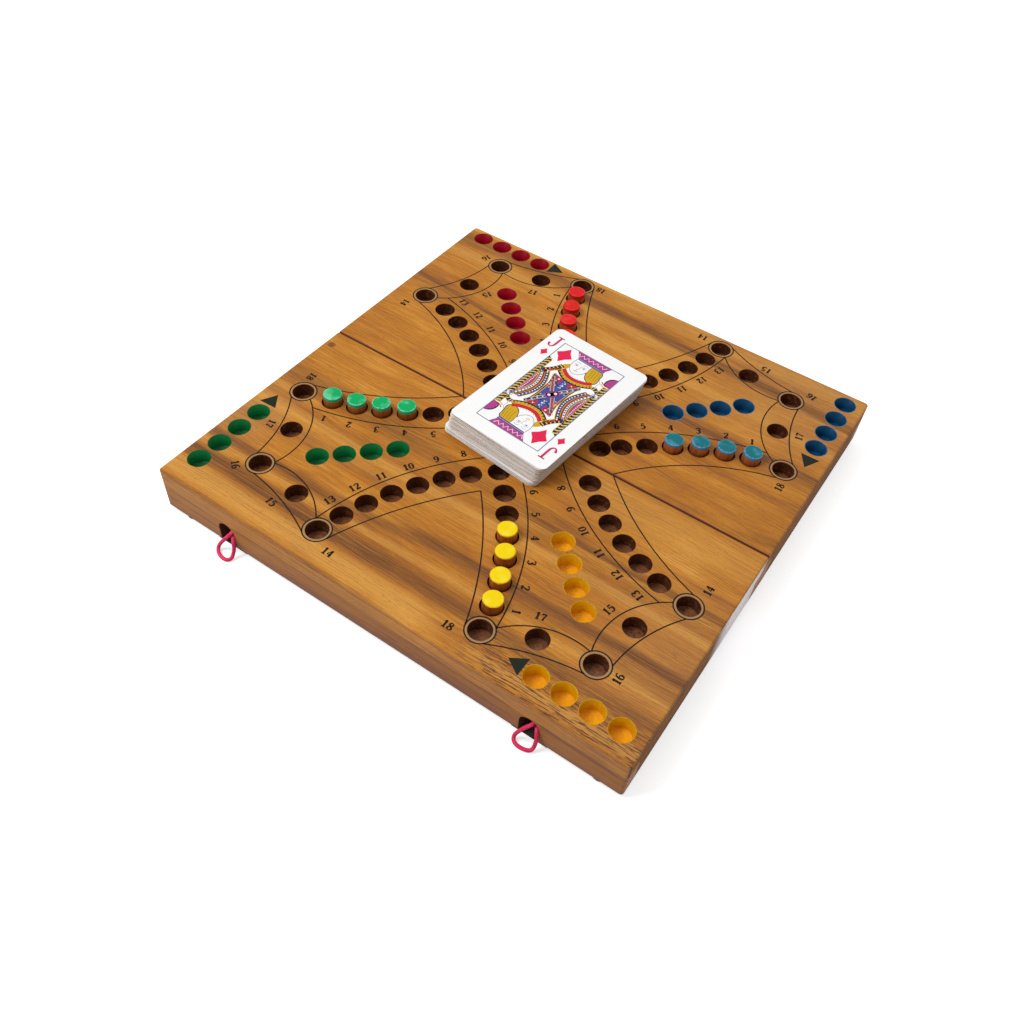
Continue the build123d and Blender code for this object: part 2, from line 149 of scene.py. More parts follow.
class Finish:
    """One material, or the sky, with the nodes that make it."""

    def __init__(self, name, owners=bpy.data.materials, shader="Principled BSDF"):
        self.material = owners.new(name)
        self.material.use_nodes = True
        self.tree = self.material.node_tree
        self.shader = self.tree.nodes[shader]

    def node(self, kind, settings=None, inputs=(), output=0):
        """Add a node: its settings first, then the values or links of its sockets."""
        made = self.tree.nodes.new(kind)
        for name, value in (settings or {}).items():
            if name == "stops":
                for index, (place, colour) in enumerate(value):
                    stops = made.color_ramp.elements
                    stop = stops[index] if index < 2 else stops.new(place)
                    stop.position = place
                    stop.color = (*colour, 1)
            else:
                setattr(made, name, value)
        pairs = inputs.items() if isinstance(inputs, dict) else enumerate(inputs)
        for key, value in pairs:
            self.plug(made.inputs[key], value)
        return Value(self, made.outputs[output])

    def plug(self, socket, value):
        """Link a value to a socket, or set a plain number or colour on it."""
        if isinstance(value, Value):
            self.tree.links.new(value.socket, socket)
        elif socket.type == "RGBA" and len(value) == 3:
            socket.default_value = (*value, 1)
        else:
            socket.default_value = value

    def place(self, stretch=(1, 1, 1), source="Object"):
        """Coordinates on the piece in millimetres, times a stretch for each axis."""
        where = self.node("ShaderNodeTexCoord", output=source)
        return self.node("ShaderNodeMapping", {}, {"Vector": where, "Scale": [s / MM for s in stretch]})

    def axes(self, vector):
        """The three numbers of a vector."""
        return [self.node("ShaderNodeSeparateXYZ", {}, (vector,), output=index) for index in range(3)]

    def join(self, x, y, z):
        """A vector from three numbers."""
        return self.node("ShaderNodeCombineXYZ", {}, (x, y, z))

    def noise(self, vector, scale=1.0, detail=2.0, roughness=0.5, distortion=0.0):
        inputs = {"Vector": vector, "Scale": scale, "Detail": detail, "Roughness": roughness}
        inputs["Distortion"] = distortion
        return self.node("ShaderNodeTexNoise", {}, inputs)

    def mix(self, share, first, second):
        """A colour between two others. Inputs 6 and 7 and output 2 are the node's colour sockets."""
        return self.node("ShaderNodeMix", {"data_type": "RGBA"}, {0: share, 6: first, 7: second}, output=2)

    def ramp(self, share, *stops):
        """A colour from a row of (place, colour) stops."""
        return self.node("ShaderNodeValToRGB", {"stops": stops}, (share,))

    def bump(self, height, strength, depth_mm):
        """A relief for the shader's normal."""
        inputs = {"Height": height, "Strength": strength, "Distance": depth_mm * MM}
        return self.node("ShaderNodeBump", {}, inputs)

    def surface(self, **sockets):
        """Set or link sockets of the shader, written with _ for a space."""
        for name, value in sockets.items():
            self.plug(self.shader.inputs[name.replace("_", " ")], value)
        return self.material


# Wood


class Grain:
    """Places in a piece of wood, in millimetres, with its broad bands, fine fibres and pores."""

    def __init__(self, finish, along, seed):
        x, y, z = finish.axes(finish.place())
        run, across = (x, y) if along == "X" else (y, x)
        drift = finish.noise(finish.join(run * 0.01, across * 0.02 + seed, z * 0.02))
        bent = across + (drift - 0.5) * 12
        self.x = x
        self.y = y
        self.z = z
        self.run = run
        self.bent = bent
        broad = finish.join(run * 0.006, bent * 0.1, z * 0.1 + seed)
        self.bands = finish.noise(broad, detail=4.0, roughness=0.6)
        fine = finish.join(run * 0.075, bent * 1.8, z * 1.8)
        self.fibres = finish.noise(fine, detail=4.0, roughness=0.7)
        finest = finish.join(run * 0.26, bent * 3.0, z * 3.0 + seed)
        self.pores = finish.noise(finest, roughness=0.7)

    def relief(self):
        """How far the fibres and the rims of the pores stand up."""
        return self.fibres * 0.6 + self.pores * 0.4


# Streaks of the playing face: middle y at the left edge and at the right edge, half width, strength, left and
# right end. An end past the board's edge is no end
dark_streaks = (
    (113.0, 101.5, 3.2, 0.95, -60, 150),
    (115.5, 110.0, 5.0, 0.70, -150, -25),
    (69.0, 44.3, 1.7, 0.95, -150, -28),
    (62.0, 40.0, 6.0, 0.28, -150, -10),
    (52.5, 56.0, 2.2, 0.95, 0, 150),
    (48.0, 52.0, 5.5, 0.42, 0, 150),
    (-40.0, 8.0, 3.0, 0.70, 98, 150),
    (-38.0, -40.0, 6.0, 0.75, -150, -20),
    (-41.0, -44.0, 4.5, 0.55, -70, 70),
    (-46.5, -46.0, 2.0, 0.90, 5, 150),
    (-51.5, -52.0, 3.5, 0.32, -30, 150),
    (-89.0, -82.5, 2.9, 1.00, -30, 150),
    (-93.5, -85.0, 2.4, 0.85, -150, 10),
    (-84.0, -90.0, 4.5, 0.35, -20, 150),
    (-108.0, -105.0, 4.0, 1.10, -150, 20),
    (-106.0, -107.0, 3.4, 0.95, -30, 110),
    (-103.5, -102.5, 2.4, 0.40, -60, 60),
    (-112.0, -107.0, 3.5, 0.60, 50, 150),
    (-127.0, -126.5, 1.2, 0.60, -150, 20),
    (-117.0, -115.0, 2.0, 0.25, 60, 150),
)
light_streaks = (
    (-119.0, -118.5, 4.6, 0.75, -150, 40),
    (-122.5, -122.0, 2.6, 0.55, 30, 150),
    (-99.0, -96.0, 1.8, 0.45, -150, 150),
    (-68.0, -60.0, 5.0, 0.25, -150, 40),
    (-61.0, -60.5, 2.6, 0.60, -150, 150),
    (102.0, 97.0, 3.5, 0.60, -150, 50),
    (92.0, 78.0, 3.0, 0.45, -40, 150),
    (-20.0, -12.0, 9.0, 0.45, 20, 150),
    (121.0, 120.5, 4.6, 0.50, -40, 150),
    (125.5, 125.5, 1.6, 0.80, -150, 60),
    (80.0, 79.0, 3.0, 0.40, -95, -10),
)
streak_end_fade = 30

# Broad lighter and darker places, one of them the card pack's painted shadow: middle x and y, half length,
# half width and change of tone
tone_and_shadow_places = (
    (-80.0, 20.0, 50.0, 20.0, 0.03),
    (-92.0, -18.0, 46.0, 22.0, 0.05),
    (88.0, -22.0, 50.0, 20.0, 0.11),
    (108.0, -108.0, 40.0, 16.0, -0.08),
    (88.0, 86.0, 38.0, 16.0, 0.06),
    (0.0, -118.0, 55.0, 10.0, 0.08),
    (10.0, 82.0, 45.0, 20.0, 0.10),
    (88.0, 24.0, 50.0, 20.0, 0.14),
    # Painted shadow of the card pack, on its right
    (32.0, 33.0, 32.0, 24.0, -0.16),
    (20.0, -36.0, 50.0, 14.0, -0.10),
    (-38.0, 69.0, 30.0, 10.0, 0.12),
    (-110.0, 66.0, 30.0, 10.0, -0.08),
    (106.0, 60.0, 34.0, 22.0, -0.12),
    (-38.0, -22.0, 22.0, 6.0, 0.12),
    (-108.0, -39.0, 30.0, 8.0, -0.08),
    (-95.0, -84.0, 45.0, 6.0, 0.10),
    (88.0, -93.0, 50.0, 6.0, 0.10),
    (-10.0, -102.0, 70.0, 6.0, -0.08),
)

# Places where the wood is paler and greyer: middle x and y, half length, half width and how far
pale_places = (
    (100.0, 105.0, 80.0, 70.0, 0.22),
    (-127.0, -75.0, 40.0, 45.0, 0.30),
    (118.0, -80.0, 50.0, 70.0, 0.18),
)

# Glued joints between the strips of each half, and how much lighter the strip behind each one is
strip_joints = ((-94.6, -0.03), (-51.5, 0.05), (-24.0, -0.04), (42.0, 0.03), (79.0, 0.02), (98.5, -0.03))
knot_place = (-123.2, -10.7)

# Painted shade and a painted highlight on the board's outer faces. A place this near a face counts as on it
face_depth = 0.4
edge_top = 0.6
side_top = 0.8
edge_line_level = 1.6
seam_depth = 1.5
shaded_side_colour = (0.10, 0.030, 0.010)
side_highlight_colour = (0.97, 0.83, 0.84)

# Where the hole varnish may show: below the rims, and clear of the outer faces and of the seam
varnish_start = 0.35
varnish_end = 0.5
varnish_face_margin = 1.5
varnish_seam_margin = 1.2


def streak_mask(x, y, streaks):
    """How strongly the streaks of a list cover each place."""
    mask = 0.0
    for at_left, at_right, half, strength, left, right in streaks:
        slope = (at_right - at_left) / (2 * half_width)
        across = abs(y - x * slope - (at_left + at_right) / 2).rise(half * 1.7, half * 0.45)
        if left > -half_width:
            across = across * x.rise(left, left + streak_end_fade)
        if right < half_width:
            across = across * x.rise(right, right - streak_end_fade)
        mask = (across * strength).most(mask)
    return mask


def soft_share(wood, middle_x, middle_y, half_long, half_across):
    """1 in the middle of a place, and 0 from its edges on."""
    return abs(wood.x - middle_x).rise(half_long, 0) * abs(wood.y - middle_y).rise(half_across, 0)


def plain_strips(finish, wood):
    """Golden brown strips with lighter, darker and paler places, and the card pack's painted shadow."""
    cloud_place = finish.join(wood.x * 0.018, wood.y * 0.05, wood.z * 0.05)
    clouds = finish.noise(cloud_place, detail=3.0, roughness=0.6)
    tone = 0.5 + (wood.bands - 0.5) * 0.9 + (wood.fibres - 0.5) * 0.9 + (clouds - 0.5) * 0.7
    for level, step in strip_joints:
        tone = tone + wood.y.above(level) * step
    for *place, step in tone_and_shadow_places:
        tone = tone + soft_share(wood, *place) * step
    colour = finish.ramp(
        tone,
        (0.20, (0.260, 0.086, 0.012)),
        (0.82, (0.69, 0.315, 0.052)),
        (0.42, (0.425, 0.148, 0.012)),
        (0.60, (0.530, 0.202, 0.016)),
    )
    for *place, share in pale_places:
        colour = finish.mix(soft_share(wood, *place) * share, colour, (0.47, 0.27, 0.125))
    return colour


def streaked(finish, wood, colour):
    """Light and dark streaks with feathered edges, and fine threads and pores between them."""
    waver = finish.noise(finish.join(wood.x * 0.014, wood.y * 0.05, 7.0), detail=3.0)
    streak_y = wood.y + (waver - 0.5) * 4.5
    feather = finish.noise(finish.join(wood.x * 0.01, streak_y * 1.5, 1.0), detail=5.0, roughness=0.7)
    light = streak_mask(wood.x, streak_y, light_streaks) * (0.35 + feather.rise(0.3, 0.6) * 0.65)
    colour = finish.mix(light.least(1), colour, (0.71, 0.350, 0.068))
    dark = streak_mask(wood.x, streak_y, dark_streaks) * (0.5 + feather.rise(0.66, 0.34) * 0.5)
    dark_colour = finish.mix(wood.fibres.rise(0.4, 0.6), (0.090, 0.029, 0.008), (0.180, 0.059, 0.010))
    colour = finish.mix(dark.least(0.97), colour, dark_colour)
    threads = finish.noise(finish.join(wood.x * 0.012, wood.bent * 2.4, 9.0), detail=3.0, roughness=0.6)
    colour = finish.mix(threads.rise(0.57, 0.66) * 0.55, colour, (0.20, 0.070, 0.018))
    colour = finish.mix(threads.rise(0.43, 0.36) * 0.3, colour, (0.76, 0.38, 0.085))
    return finish.mix(wood.pores.rise(0.58, 0.7) * 0.55, colour, (0.17, 0.060, 0.018))


def dashed(finish, wood, colour):
    """Short dark dashes of the front right corner, thickest by its front edge."""
    by_edge = wood.y.rise(-104, -117) * wood.x.rise(25, 60) * 0.8 + 0.2
    in_corner = by_edge * wood.y.rise(-62, -108) * wood.x.rise(0, 70)
    dashes = finish.noise(finish.join(wood.x * 0.1, wood.y * 1.5, wood.z * 1.5), detail=3.0, roughness=0.7)
    return finish.mix(dashes.rise(0.5, 0.57) * in_corner * 0.92, colour, (0.085, 0.026, 0.012))


def jointed_and_knotted(finish, wood, colour):
    """The glued joints between the strips, and one knot by the left edge."""
    joints = 0.0
    for level, _ in strip_joints:
        joints = abs(wood.y - level).rise(0.22, 0.08).most(joints)
    colour = finish.mix(joints * 0.3, colour, (0.20, 0.08, 0.03))
    from_x = wood.x - knot_place[0]
    from_y = wood.y - knot_place[1]
    eye = finish.noise(finish.place(), 0.5) * 3 + from_x * from_x * 0.3 + from_y * from_y * 0.45
    return finish.mix(eye.rise(3.9, 1.6) * 0.85, colour, (0.085, 0.030, 0.014))


def cut_edges(finish, wood, colour):
    """Redder wood on the front and back edges, with dark lines, thickest just under the top."""
    edge = wood.z.below(top_z - edge_top) * abs(wood.y).above(free_y - face_depth)
    lines = finish.noise(finish.join(wood.x * 0.02, wood.z * 0.55, 4.0), detail=4.0, roughness=0.7)
    colour = finish.mix(edge * 0.42, colour, (0.95, 0.38, 0.065))
    colour = finish.mix(edge * lines.rise(0.5, 0.66) * 0.65, colour, (0.16, 0.052, 0.020))
    under_top = abs(wood.z - (top_z - edge_line_level)).rise(0.9, 0.2) * wood.pores.rise(0.4, 0.52)
    return finish.mix(edge * under_top * 0.6, colour, (0.15, 0.046, 0.022))


def old_bloom(finish, wood):
    """How far a painted highlight, a pale reflection of light, covers the right side of the board."""
    uneven = finish.noise(finish.join(wood.x, wood.y * 0.05, 2.0)).rise(0.25, 0.6)
    on_side = wood.x.above(half_width - face_depth)
    return on_side * wood.y.rise(-56, -38) * wood.y.rise(5, -8) * (0.75 + uneven * 0.25)


def hole_mask(wood):
    """1 on the walls and floors of the peg holes."""
    level = wood.z.below(top_z - varnish_start) * wood.z.above(hole_floor_z - varnish_end)
    off_sides = abs(wood.x).below(half_width - varnish_face_margin)
    off_edges = abs(wood.y).below(free_y - varnish_face_margin) * abs(wood.y).above(varnish_seam_margin)
    return level * off_sides * off_edges


def hole_varnish(finish, wood):
    """Dark varnish with lighter floors, darker fibres and a few glints."""
    floor = wood.z.below(hole_floor_z + 0.2)
    colour = finish.mix(floor, (0.092, 0.024, 0.008), (0.225, 0.080, 0.028))
    colour = finish.mix(wood.fibres.rise(0.35, 0.75) * 0.4, colour, (0.05, 0.016, 0.008))
    glints = finish.noise(finish.place(), 0.55, 3.0, 0.65)
    colour = finish.mix(glints.rise(0.56, 0.66) * 0.55, colour, (0.32, 0.130, 0.075))
    return finish.mix(glints.rise(0.46, 0.36) * 0.6, colour, (0.040, 0.014, 0.008))


def playing_wood():
    """Golden brown top boards with dark streaks and darker varnish down the peg holes, with painted shade on
    the sides and at the seam, and a painted highlight on the right side.
    """
    finish = Finish("playing_wood")
    wood = Grain(finish, "X", 3.0)
    colour = plain_strips(finish, wood)
    colour = streaked(finish, wood, colour)
    colour = dashed(finish, wood, colour)
    colour = jointed_and_knotted(finish, wood, colour)
    colour = cut_edges(finish, wood, colour)
    # Painted shade on the sides, and a painted highlight on the right side
    side = abs(wood.x).above(half_width - face_depth) * wood.z.below(top_z - side_top)
    side_highlight = old_bloom(finish, wood) * side
    colour = finish.mix(side * 0.55, colour, shaded_side_colour)
    colour = finish.mix(side_highlight, colour, side_highlight_colour)
    # Painted shade of the narrow gap between the two halves
    seam = abs(wood.y).rise(1.0, 0.45) * wood.z.above(top_z - seam_depth)
    colour = finish.mix(seam, colour, (0.095, 0.018, 0.004))
    in_hole = hole_mask(wood)
    colour = finish.mix(in_hole, colour, hole_varnish(finish, wood))
    rough = 0.46 + wood.bands * 0.12 - in_hole * 0.2 + side * 0.28 - side_highlight * 0.56
    relief = finish.bump(wood.relief(), 0.25, 0.06)
    return finish.surface(Base_Color=colour, Roughness=rough, Normal=relief, Specular_IOR_Level=0.24)


# Shade inside the notches of the free rails
notch_half_width = 5.1
notch_shade_start = 0.35
notch_shade_end = 11
notch_shade_top = 17.2


def notch_mask(wood):
    """1 on the faces inside the two notches."""
    beside = 0.0
    for middle in notch_x:
        beside = abs(wood.x - middle).below(notch_half_width).most(beside)
    behind_face = abs(wood.y).below(free_y - notch_shade_start) * abs(wood.y).above(free_y - notch_shade_end)
    return beside * behind_face * wood.z.below(notch_shade_top)


def rail_wood(name, along, seed):
    """Pinkish brown wood of the rails, with fine dark lines along the grain and darker towards the bottom.
    Painted shade on the short rails and in the notches, and a painted highlight on the right rail.
    """
    finish = Finish(name)
    wood = Grain(finish, along, seed)
    colour = finish.ramp(
        0.5 + (wood.bands - 0.5) * 1.2 + (wood.fibres - 0.5) * 0.6,
        (0.22, (0.230, 0.077, 0.022)),
        (0.80, (0.66, 0.288, 0.070)),
        (0.50, (0.460, 0.170, 0.036)),
    )
    along_grain = finish.join(wood.run * 0.006, wood.bent * 0.45, wood.z * 0.42 + seed)
    lines = finish.noise(along_grain, detail=4.0, roughness=0.6)
    colour = finish.mix(lines.rise(0.52, 0.66) * 0.6, colour, (0.180, 0.062, 0.034))
    # Darker and more purple towards the bottom
    colour = finish.mix(wood.z.rise(17.0, 6.0) * 0.2, colour, (0.26, 0.095, 0.055))
    colour = finish.mix(wood.z.rise(9.0, 4.0) * 0.36, colour, (0.200, 0.085, 0.085))
    colour = finish.mix(wood.pores.rise(0.6, 0.75) * 0.4, colour, (0.10, 0.04, 0.02))
    rough = 0.48 + wood.bands * 0.12
    # Short rails: painted shade over the whole side, and a painted highlight on the right
    if along == "Y":
        side_highlight = old_bloom(finish, wood)
        colour = finish.mix(0.45, colour, shaded_side_colour)
        colour = finish.mix(side_highlight, colour, side_highlight_colour)
        rough = rough + 0.26 - side_highlight * 0.56
    else:
        colour = finish.mix(notch_mask(wood) * 0.85, colour, (0.045, 0.018, 0.012))
    relief = finish.bump(wood.relief(), 0.3, 0.06)
    return finish.surface(Base_Color=colour, Roughness=rough, Normal=relief, Specular_IOR_Level=0.18)


# Other finishes


def brass():
    """Satin brass with fine scratches and some tarnish."""
    finish = Finish("brass")
    place = finish.place()
    cloud = finish.noise(place, 0.35, 3.0)
    scratches = finish.noise(finish.place((0.4, 6, 6)), 1.0, 3.0, 0.7)
    colour = finish.ramp(cloud, (0.3, (0.58, 0.37, 0.12)), (0.7, (0.80, 0.58, 0.26)))
    tarnish = finish.noise(place, 1.6, 4.0, 0.7).rise(0.58, 0.75)
    colour = finish.mix(tarnish * 0.6, colour, (0.28, 0.16, 0.06))
    rough = 0.26 + cloud * 0.2 + tarnish * 0.2
    relief = finish.bump(scratches, 0.15, 0.02)
    return finish.surface(Base_Color=colour, Metallic=1.0, Roughness=rough, Normal=relief)


def felt():
    """Dark felt with a fluffy surface."""
    finish = Finish("felt")
    fluff = finish.noise(finish.place(), 5.0, 5.0, 0.75, 0.8)
    colour = finish.ramp(fluff, (0.3, (0.018, 0.014, 0.012)), (0.75, (0.075, 0.06, 0.05)))
    relief = finish.bump(fluff, 0.8, 0.15)
    return finish.surface(Base_Color=colour, Roughness=0.95, Normal=relief, Sheen_Weight=0.4)


# Braid of the elastic: the length of one repeat, and how many repeats go round the cord
braid_pitch = 1.5
braid_turns = 3.0


def elastic(name, length, pink=0.0):
    """Braided covering of the cord, on its own map: two sets of strands that cross."""
    finish = Finish(name)
    u, v, _ = finish.axes(finish.node("ShaderNodeTexCoord", output="UV"))
    lay = u * (length / braid_pitch)
    turn = v * braid_turns
    one = ((lay + turn) * (2 * math.pi)).sine()
    two = ((lay - turn) * (2 * math.pi)).sine()
    weave = one.most(two)
    tone = finish.noise(finish.place(), 0.5, 3.0)
    colour = finish.ramp(weave, (0.0, (0.70, 0.006, 0.060)), (0.9, (0.97, 0.030, 0.135)))
    colour = finish.mix(tone.rise(0.35, 0.7) * (0.35 + pink) + pink, colour, (0.97, 0.065, 0.190))
    relief = finish.bump(weave, 0.5, 0.10)
    return finish.surface(Base_Color=colour, Roughness=0.62, Normal=relief, Specular_IOR_Level=0.25)


def card_edges():
    """White cards whose cut edges have gone grey and beige."""
    finish = Finish("card_edges")
    x, y, z = finish.axes(finish.place())
    layer = finish.noise(finish.join(x * 0.03, y * 0.03, z * 4.2), roughness=0.8)
    soil = finish.noise(finish.join(x * 0.25, y * 0.25, z * 0.9), detail=3.0)
    edge = finish.ramp(
        layer,
        (0.38, (0.30, 0.23, 0.19)),
        (0.62, (0.92, 0.85, 0.78)),
        (0.50, (0.68, 0.60, 0.53)),
    )
    edge = finish.mix(soil.rise(0.45, 0.75) * 0.45, edge, (0.46, 0.35, 0.27))
    _, _, tilt = finish.axes(finish.node("ShaderNodeTexCoord", output="Normal"))
    colour = finish.mix(abs(tilt).rise(0.4, 0.9), edge, (0.90, 0.89, 0.88))
    return finish.surface(Base_Color=colour, Roughness=0.5, Normal=finish.bump(layer, 0.5, 0.05))


def card_face():
    """Coated white card with a faint linen and soft soiling in patches."""
    finish = Finish("card_face")
    x, y, _ = finish.axes(finish.place())
    linen = (x * 9.0).sine() + (y * 9.0).sine()
    soil = finish.noise(finish.place(), 0.12, 4.0)
    colour = finish.mix(soil.rise(0.5, 0.8) * 0.3, (0.97, 0.965, 0.96), (0.88, 0.865, 0.83))
    relief = finish.bump(linen, 0.1, 0.01)
    return finish.surface(Base_Color=colour, Roughness=0.36, Normal=relief, Coat_Weight=0.2)


def ink(name, colour, worn):
    """Printed or stamped colour with slight unevenness."""
    finish = Finish(name)
    speck = finish.noise(finish.place(), 2.4, 4.0, 0.7)
    lighter = [channel + (0.35 - channel) * 0.3 for channel in colour]
    mixed = finish.mix(speck.rise(0.5, 0.75) * worn, colour, lighter)
    relief = finish.bump(speck, 0.15, 0.02)
    return finish.surface(Base_Color=mixed, Roughness=0.6, Normal=relief, Specular_IOR_Level=0.12)


def paint(name, colour, pale, roughness, worn=0.0):
    """Gloss paint brushed on wood, paler where it thins and worn through in spots."""
    finish = Finish(name)
    thin = finish.noise(finish.place(), 0.55, 3.0, 0.6)
    brushed = finish.noise(finish.place((1.2, 5, 5)), 1.0, 3.0, 0.6)
    mixed = finish.mix(thin.rise(0.42, 0.78) * 0.5, colour, pale)
    if worn:
        mixed = finish.mix(brushed.rise(0.52, 0.60) * worn, mixed, (0.15, 0.055, 0.020))
    rough = roughness + thin * 0.12
    relief = finish.bump(brushed, 0.25, 0.05)
    return finish.surface(Base_Color=mixed, Roughness=rough, Normal=relief, Specular_IOR_Level=0.10)


def dipped_paint(name, colour, glint, rim, side):
    """Thick gloss paint of a peg's cap: cloudy painted glints on top, painted glints in streaks at the rim,
    and another tint down the side.
    """
    finish = Finish(name)
    cloud = finish.noise(finish.place(), 0.20, 1.5, 0.45)
    _, _, tilt = finish.axes(finish.node("ShaderNodeTexCoord", output="Normal"))
    upright = abs(tilt)
    mixed = finish.mix(cloud.rise(0.46, 0.72) * 0.7, colour, glint)
    mixed = finish.mix(upright.rise(0.80, 0.30), mixed, side)
    streaks = finish.noise(finish.place((1, 1, 0.3)), 0.9, 3.0, 0.6)
    at_rim = upright.rise(0.25, 0.60) * upright.rise(0.995, 0.93)
    mixed = finish.mix(at_rim * streaks.rise(0.36, 0.58), mixed, rim)
    rough = 0.26 + cloud * 0.15
    relief = finish.bump(streaks, 0.35, 0.08)
    return finish.surface(Base_Color=mixed, Roughness=rough, Normal=relief, Specular_IOR_Level=0.12)


def dowel_wood(name, seed):
    """Orange brown dowel, with its grain running up the peg, and painted shade darkening it towards the hole.
    """
    finish = Finish(name)
    x, y, z = finish.axes(finish.place())
    fibres = finish.noise(finish.join(x * 1.6 + seed, y * 1.6, z * 0.12), detail=4.0, roughness=0.65)
    bands = finish.noise(finish.join(x * 0.25, y * 0.25 + seed, z * 0.03), detail=3.0)
    colour = finish.ramp(
        fibres * 0.5 + bands * 0.5,
        (0.34, (0.22, 0.045, 0.010)),
        (0.68, (0.62, 0.20, 0.048)),
        (0.50, (0.45, 0.115, 0.022)),
    )
    # Painted shade: darker low down, where the peg goes into its hole
    colour = finish.mix(z.rise(top_z + 3.2, top_z - 0.6) * 0.6, colour, (0.13, 0.030, 0.009))
    relief = finish.bump(fibres, 0.35, 0.06)
    return finish.surface(Base_Color=colour, Roughness=0.5, Normal=relief, Specular_IOR_Level=0.2)


top_wood = playing_wood()
long_rail_wood = rail_wood("long_rail_wood", "X", 11.0)
short_rail_wood = rail_wood("short_rail_wood", "Y", 23.0)
old_brass = brass()
dark_felt = felt()

for node_name in ("front_panel", "back_panel"):
    nodes[node_name].data.materials.clear()
    nodes[node_name].data.materials.append(top_wood)
for node_name in nodes:
    if node_name.endswith("free_rail") or node_name.endswith("seam_rail"):
        nodes[node_name].material_slots[0].material = long_rail_wood
    elif node_name.endswith("left_rail") or node_name.endswith("right_rail"):
        nodes[node_name].material_slots[0].material = short_rail_wood
    elif "hinge" in node_name or node_name in ("catch_pins", "loop_screws"):
        nodes[node_name].material_slots[0].material = old_brass


# Finished pieces


def made_parts(made, kind):
    """The vertices, edges or faces among what an operator made."""
    return [part for part in made["geom"] if isinstance(part, kind)]


def finish_piece(shape, name, body, materials, smooth=False, replaces=()):
    """Make an object of a shape drawn in millimetres, and let it ride on its body."""
    bmesh.ops.scale(shape, vec=(MM, MM, MM), verts=shape.verts)
    mesh = bpy.data.meshes.new(name)
    for face in shape.faces:
        face.smooth = smooth
    shape.to_mesh(mesh)
    shape.free()
    for material in materials:
        mesh.materials.append(material)
    piece = bpy.data.objects.new(name, mesh)
    scene.collection.objects.link(piece)
    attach(piece, body)
    if replaces:
        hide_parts(*replaces)
    return piece


# Elastic closing loops. Routes: x from the notch's centre, y from the front face, z above the table
cord_diameter = 1.8
knot_offset_x = 8.5
knot_level = 12.7
loop_routes = {
    "left": (
        (5.5, 11.75, 13.75), (4.2, 11.75, 13.75), (3.0, 10.6, 13.9), (2.2, 8.0, 14.2), (2.7, 3.8, 14.2),
        (3.6, 0.6, 13.5), (2.6, -1.6, 12.0), (-0.2, -2.6, 8.0), (-2.5, -2.9, 4.6), (-3.6, -3.7, 2.2),
        (-2.9, -5.1, 1.1), (-1.0, -6.5, 1.0), (1.8, -7.4, 1.0), (4.6, -7.2, 1.0), (5.9, -5.4, 1.1),
        (5.5, -3.4, 2.4), (5.7, -2.2, 6.0), (5.6, -2.1, 8.8), (4.2, -0.6, 10.8), (3.4, 1.4, 11.0),
        (1.2, 3.0, 9.8), (-0.6, 5.0, 8.6), (0.4, 7.8, 8.8), (2.2, 9.9, 10.3), (3.6, 11.4, 11.6),
        (5.5, 11.75, 11.65),
    ),
    "right": (
        (5.5, 11.75, 13.75), (4.2, 11.75, 13.75), (3.0, 10.6, 13.9), (2.0, 7.8, 14.2), (1.6, 3.4, 14.4),
        (1.6, 0.0, 14.2), (-0.8, -1.6, 11.6), (-2.8, -2.1, 7.4), (-4.3, -2.3, 4.0), (-4.8, -3.0, 1.9),
        (-4.0, -4.3, 1.0), (-2.2, -5.3, 1.0), (0.4, -5.4, 1.0), (3.0, -4.9, 1.0), (4.6, -3.9, 1.3),
        (5.1, -2.6, 3.0), (5.1, -1.9, 5.8), (5.1, -1.6, 8.6), (4.3, -0.7, 11.2), (2.8, 1.6, 12.2),
        (0.6, 4.0, 10.4), (0.4, 6.8, 9.2), (1.6, 9.2, 9.9), (2.9, 11.0, 11.3), (4.1, 11.75, 11.65),
        (5.5, 11.75, 11.65),
    ),
}
loop_lengths = {"left": 67.7, "right": 65.0}
loop_pinkness = {"left": 0.25, "right": 0.12}

# Knots: two turns in steps, from a start angle
knot_cord_diameter = 1.5
knot_length = 24.0
knot_turn_radius = 1.88
knot_near_y = 10.1
knot_start_degrees = 160
knot_step_degrees = 22.5
knot_steps = 32
knot_turn_gap = 0.1


def cord_curve(name, places, thickness, material):
    """A round cord along one smooth spline."""
    line = bpy.data.curves.new(name, "CURVE")
    line.dimensions = "3D"
    line.resolution_u = 12
    line.bevel_depth = thickness / 2 * MM
    line.bevel_resolution = 5
    line.use_fill_caps = True
    spline = line.splines.new("NURBS")
    spline.points.add(len(places) - 1)
    for point, (x, y, z) in zip(spline.points, places):
        point.co = (x * MM, (y - free_y) * MM, z * MM, 1)
    spline.order_u = 3
    spline.use_endpoint_u = True
    line.materials.append(material)
    cord = bpy.data.objects.new(name, line)
    scene.collection.objects.link(cord)
    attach(cord, "front_half")
    return cord


def knot_places(centre_x):
    """Two tight turns round the screw, which end one cord's width behind their start."""
    middle_x = centre_x + knot_offset_x
    first_y = knot_near_y + knot_cord_diameter / 2
    places = []
    for step in range(knot_steps + 1):
        angle = math.radians(knot_start_degrees - knot_step_degrees * step)
        x = middle_x + knot_turn_radius * math.cos(angle)
        y = first_y + (knot_cord_diameter + knot_turn_gap) * step / knot_steps
        z = knot_level + knot_turn_radius * math.sin(angle)
        places.append((x, y, z))
    return places


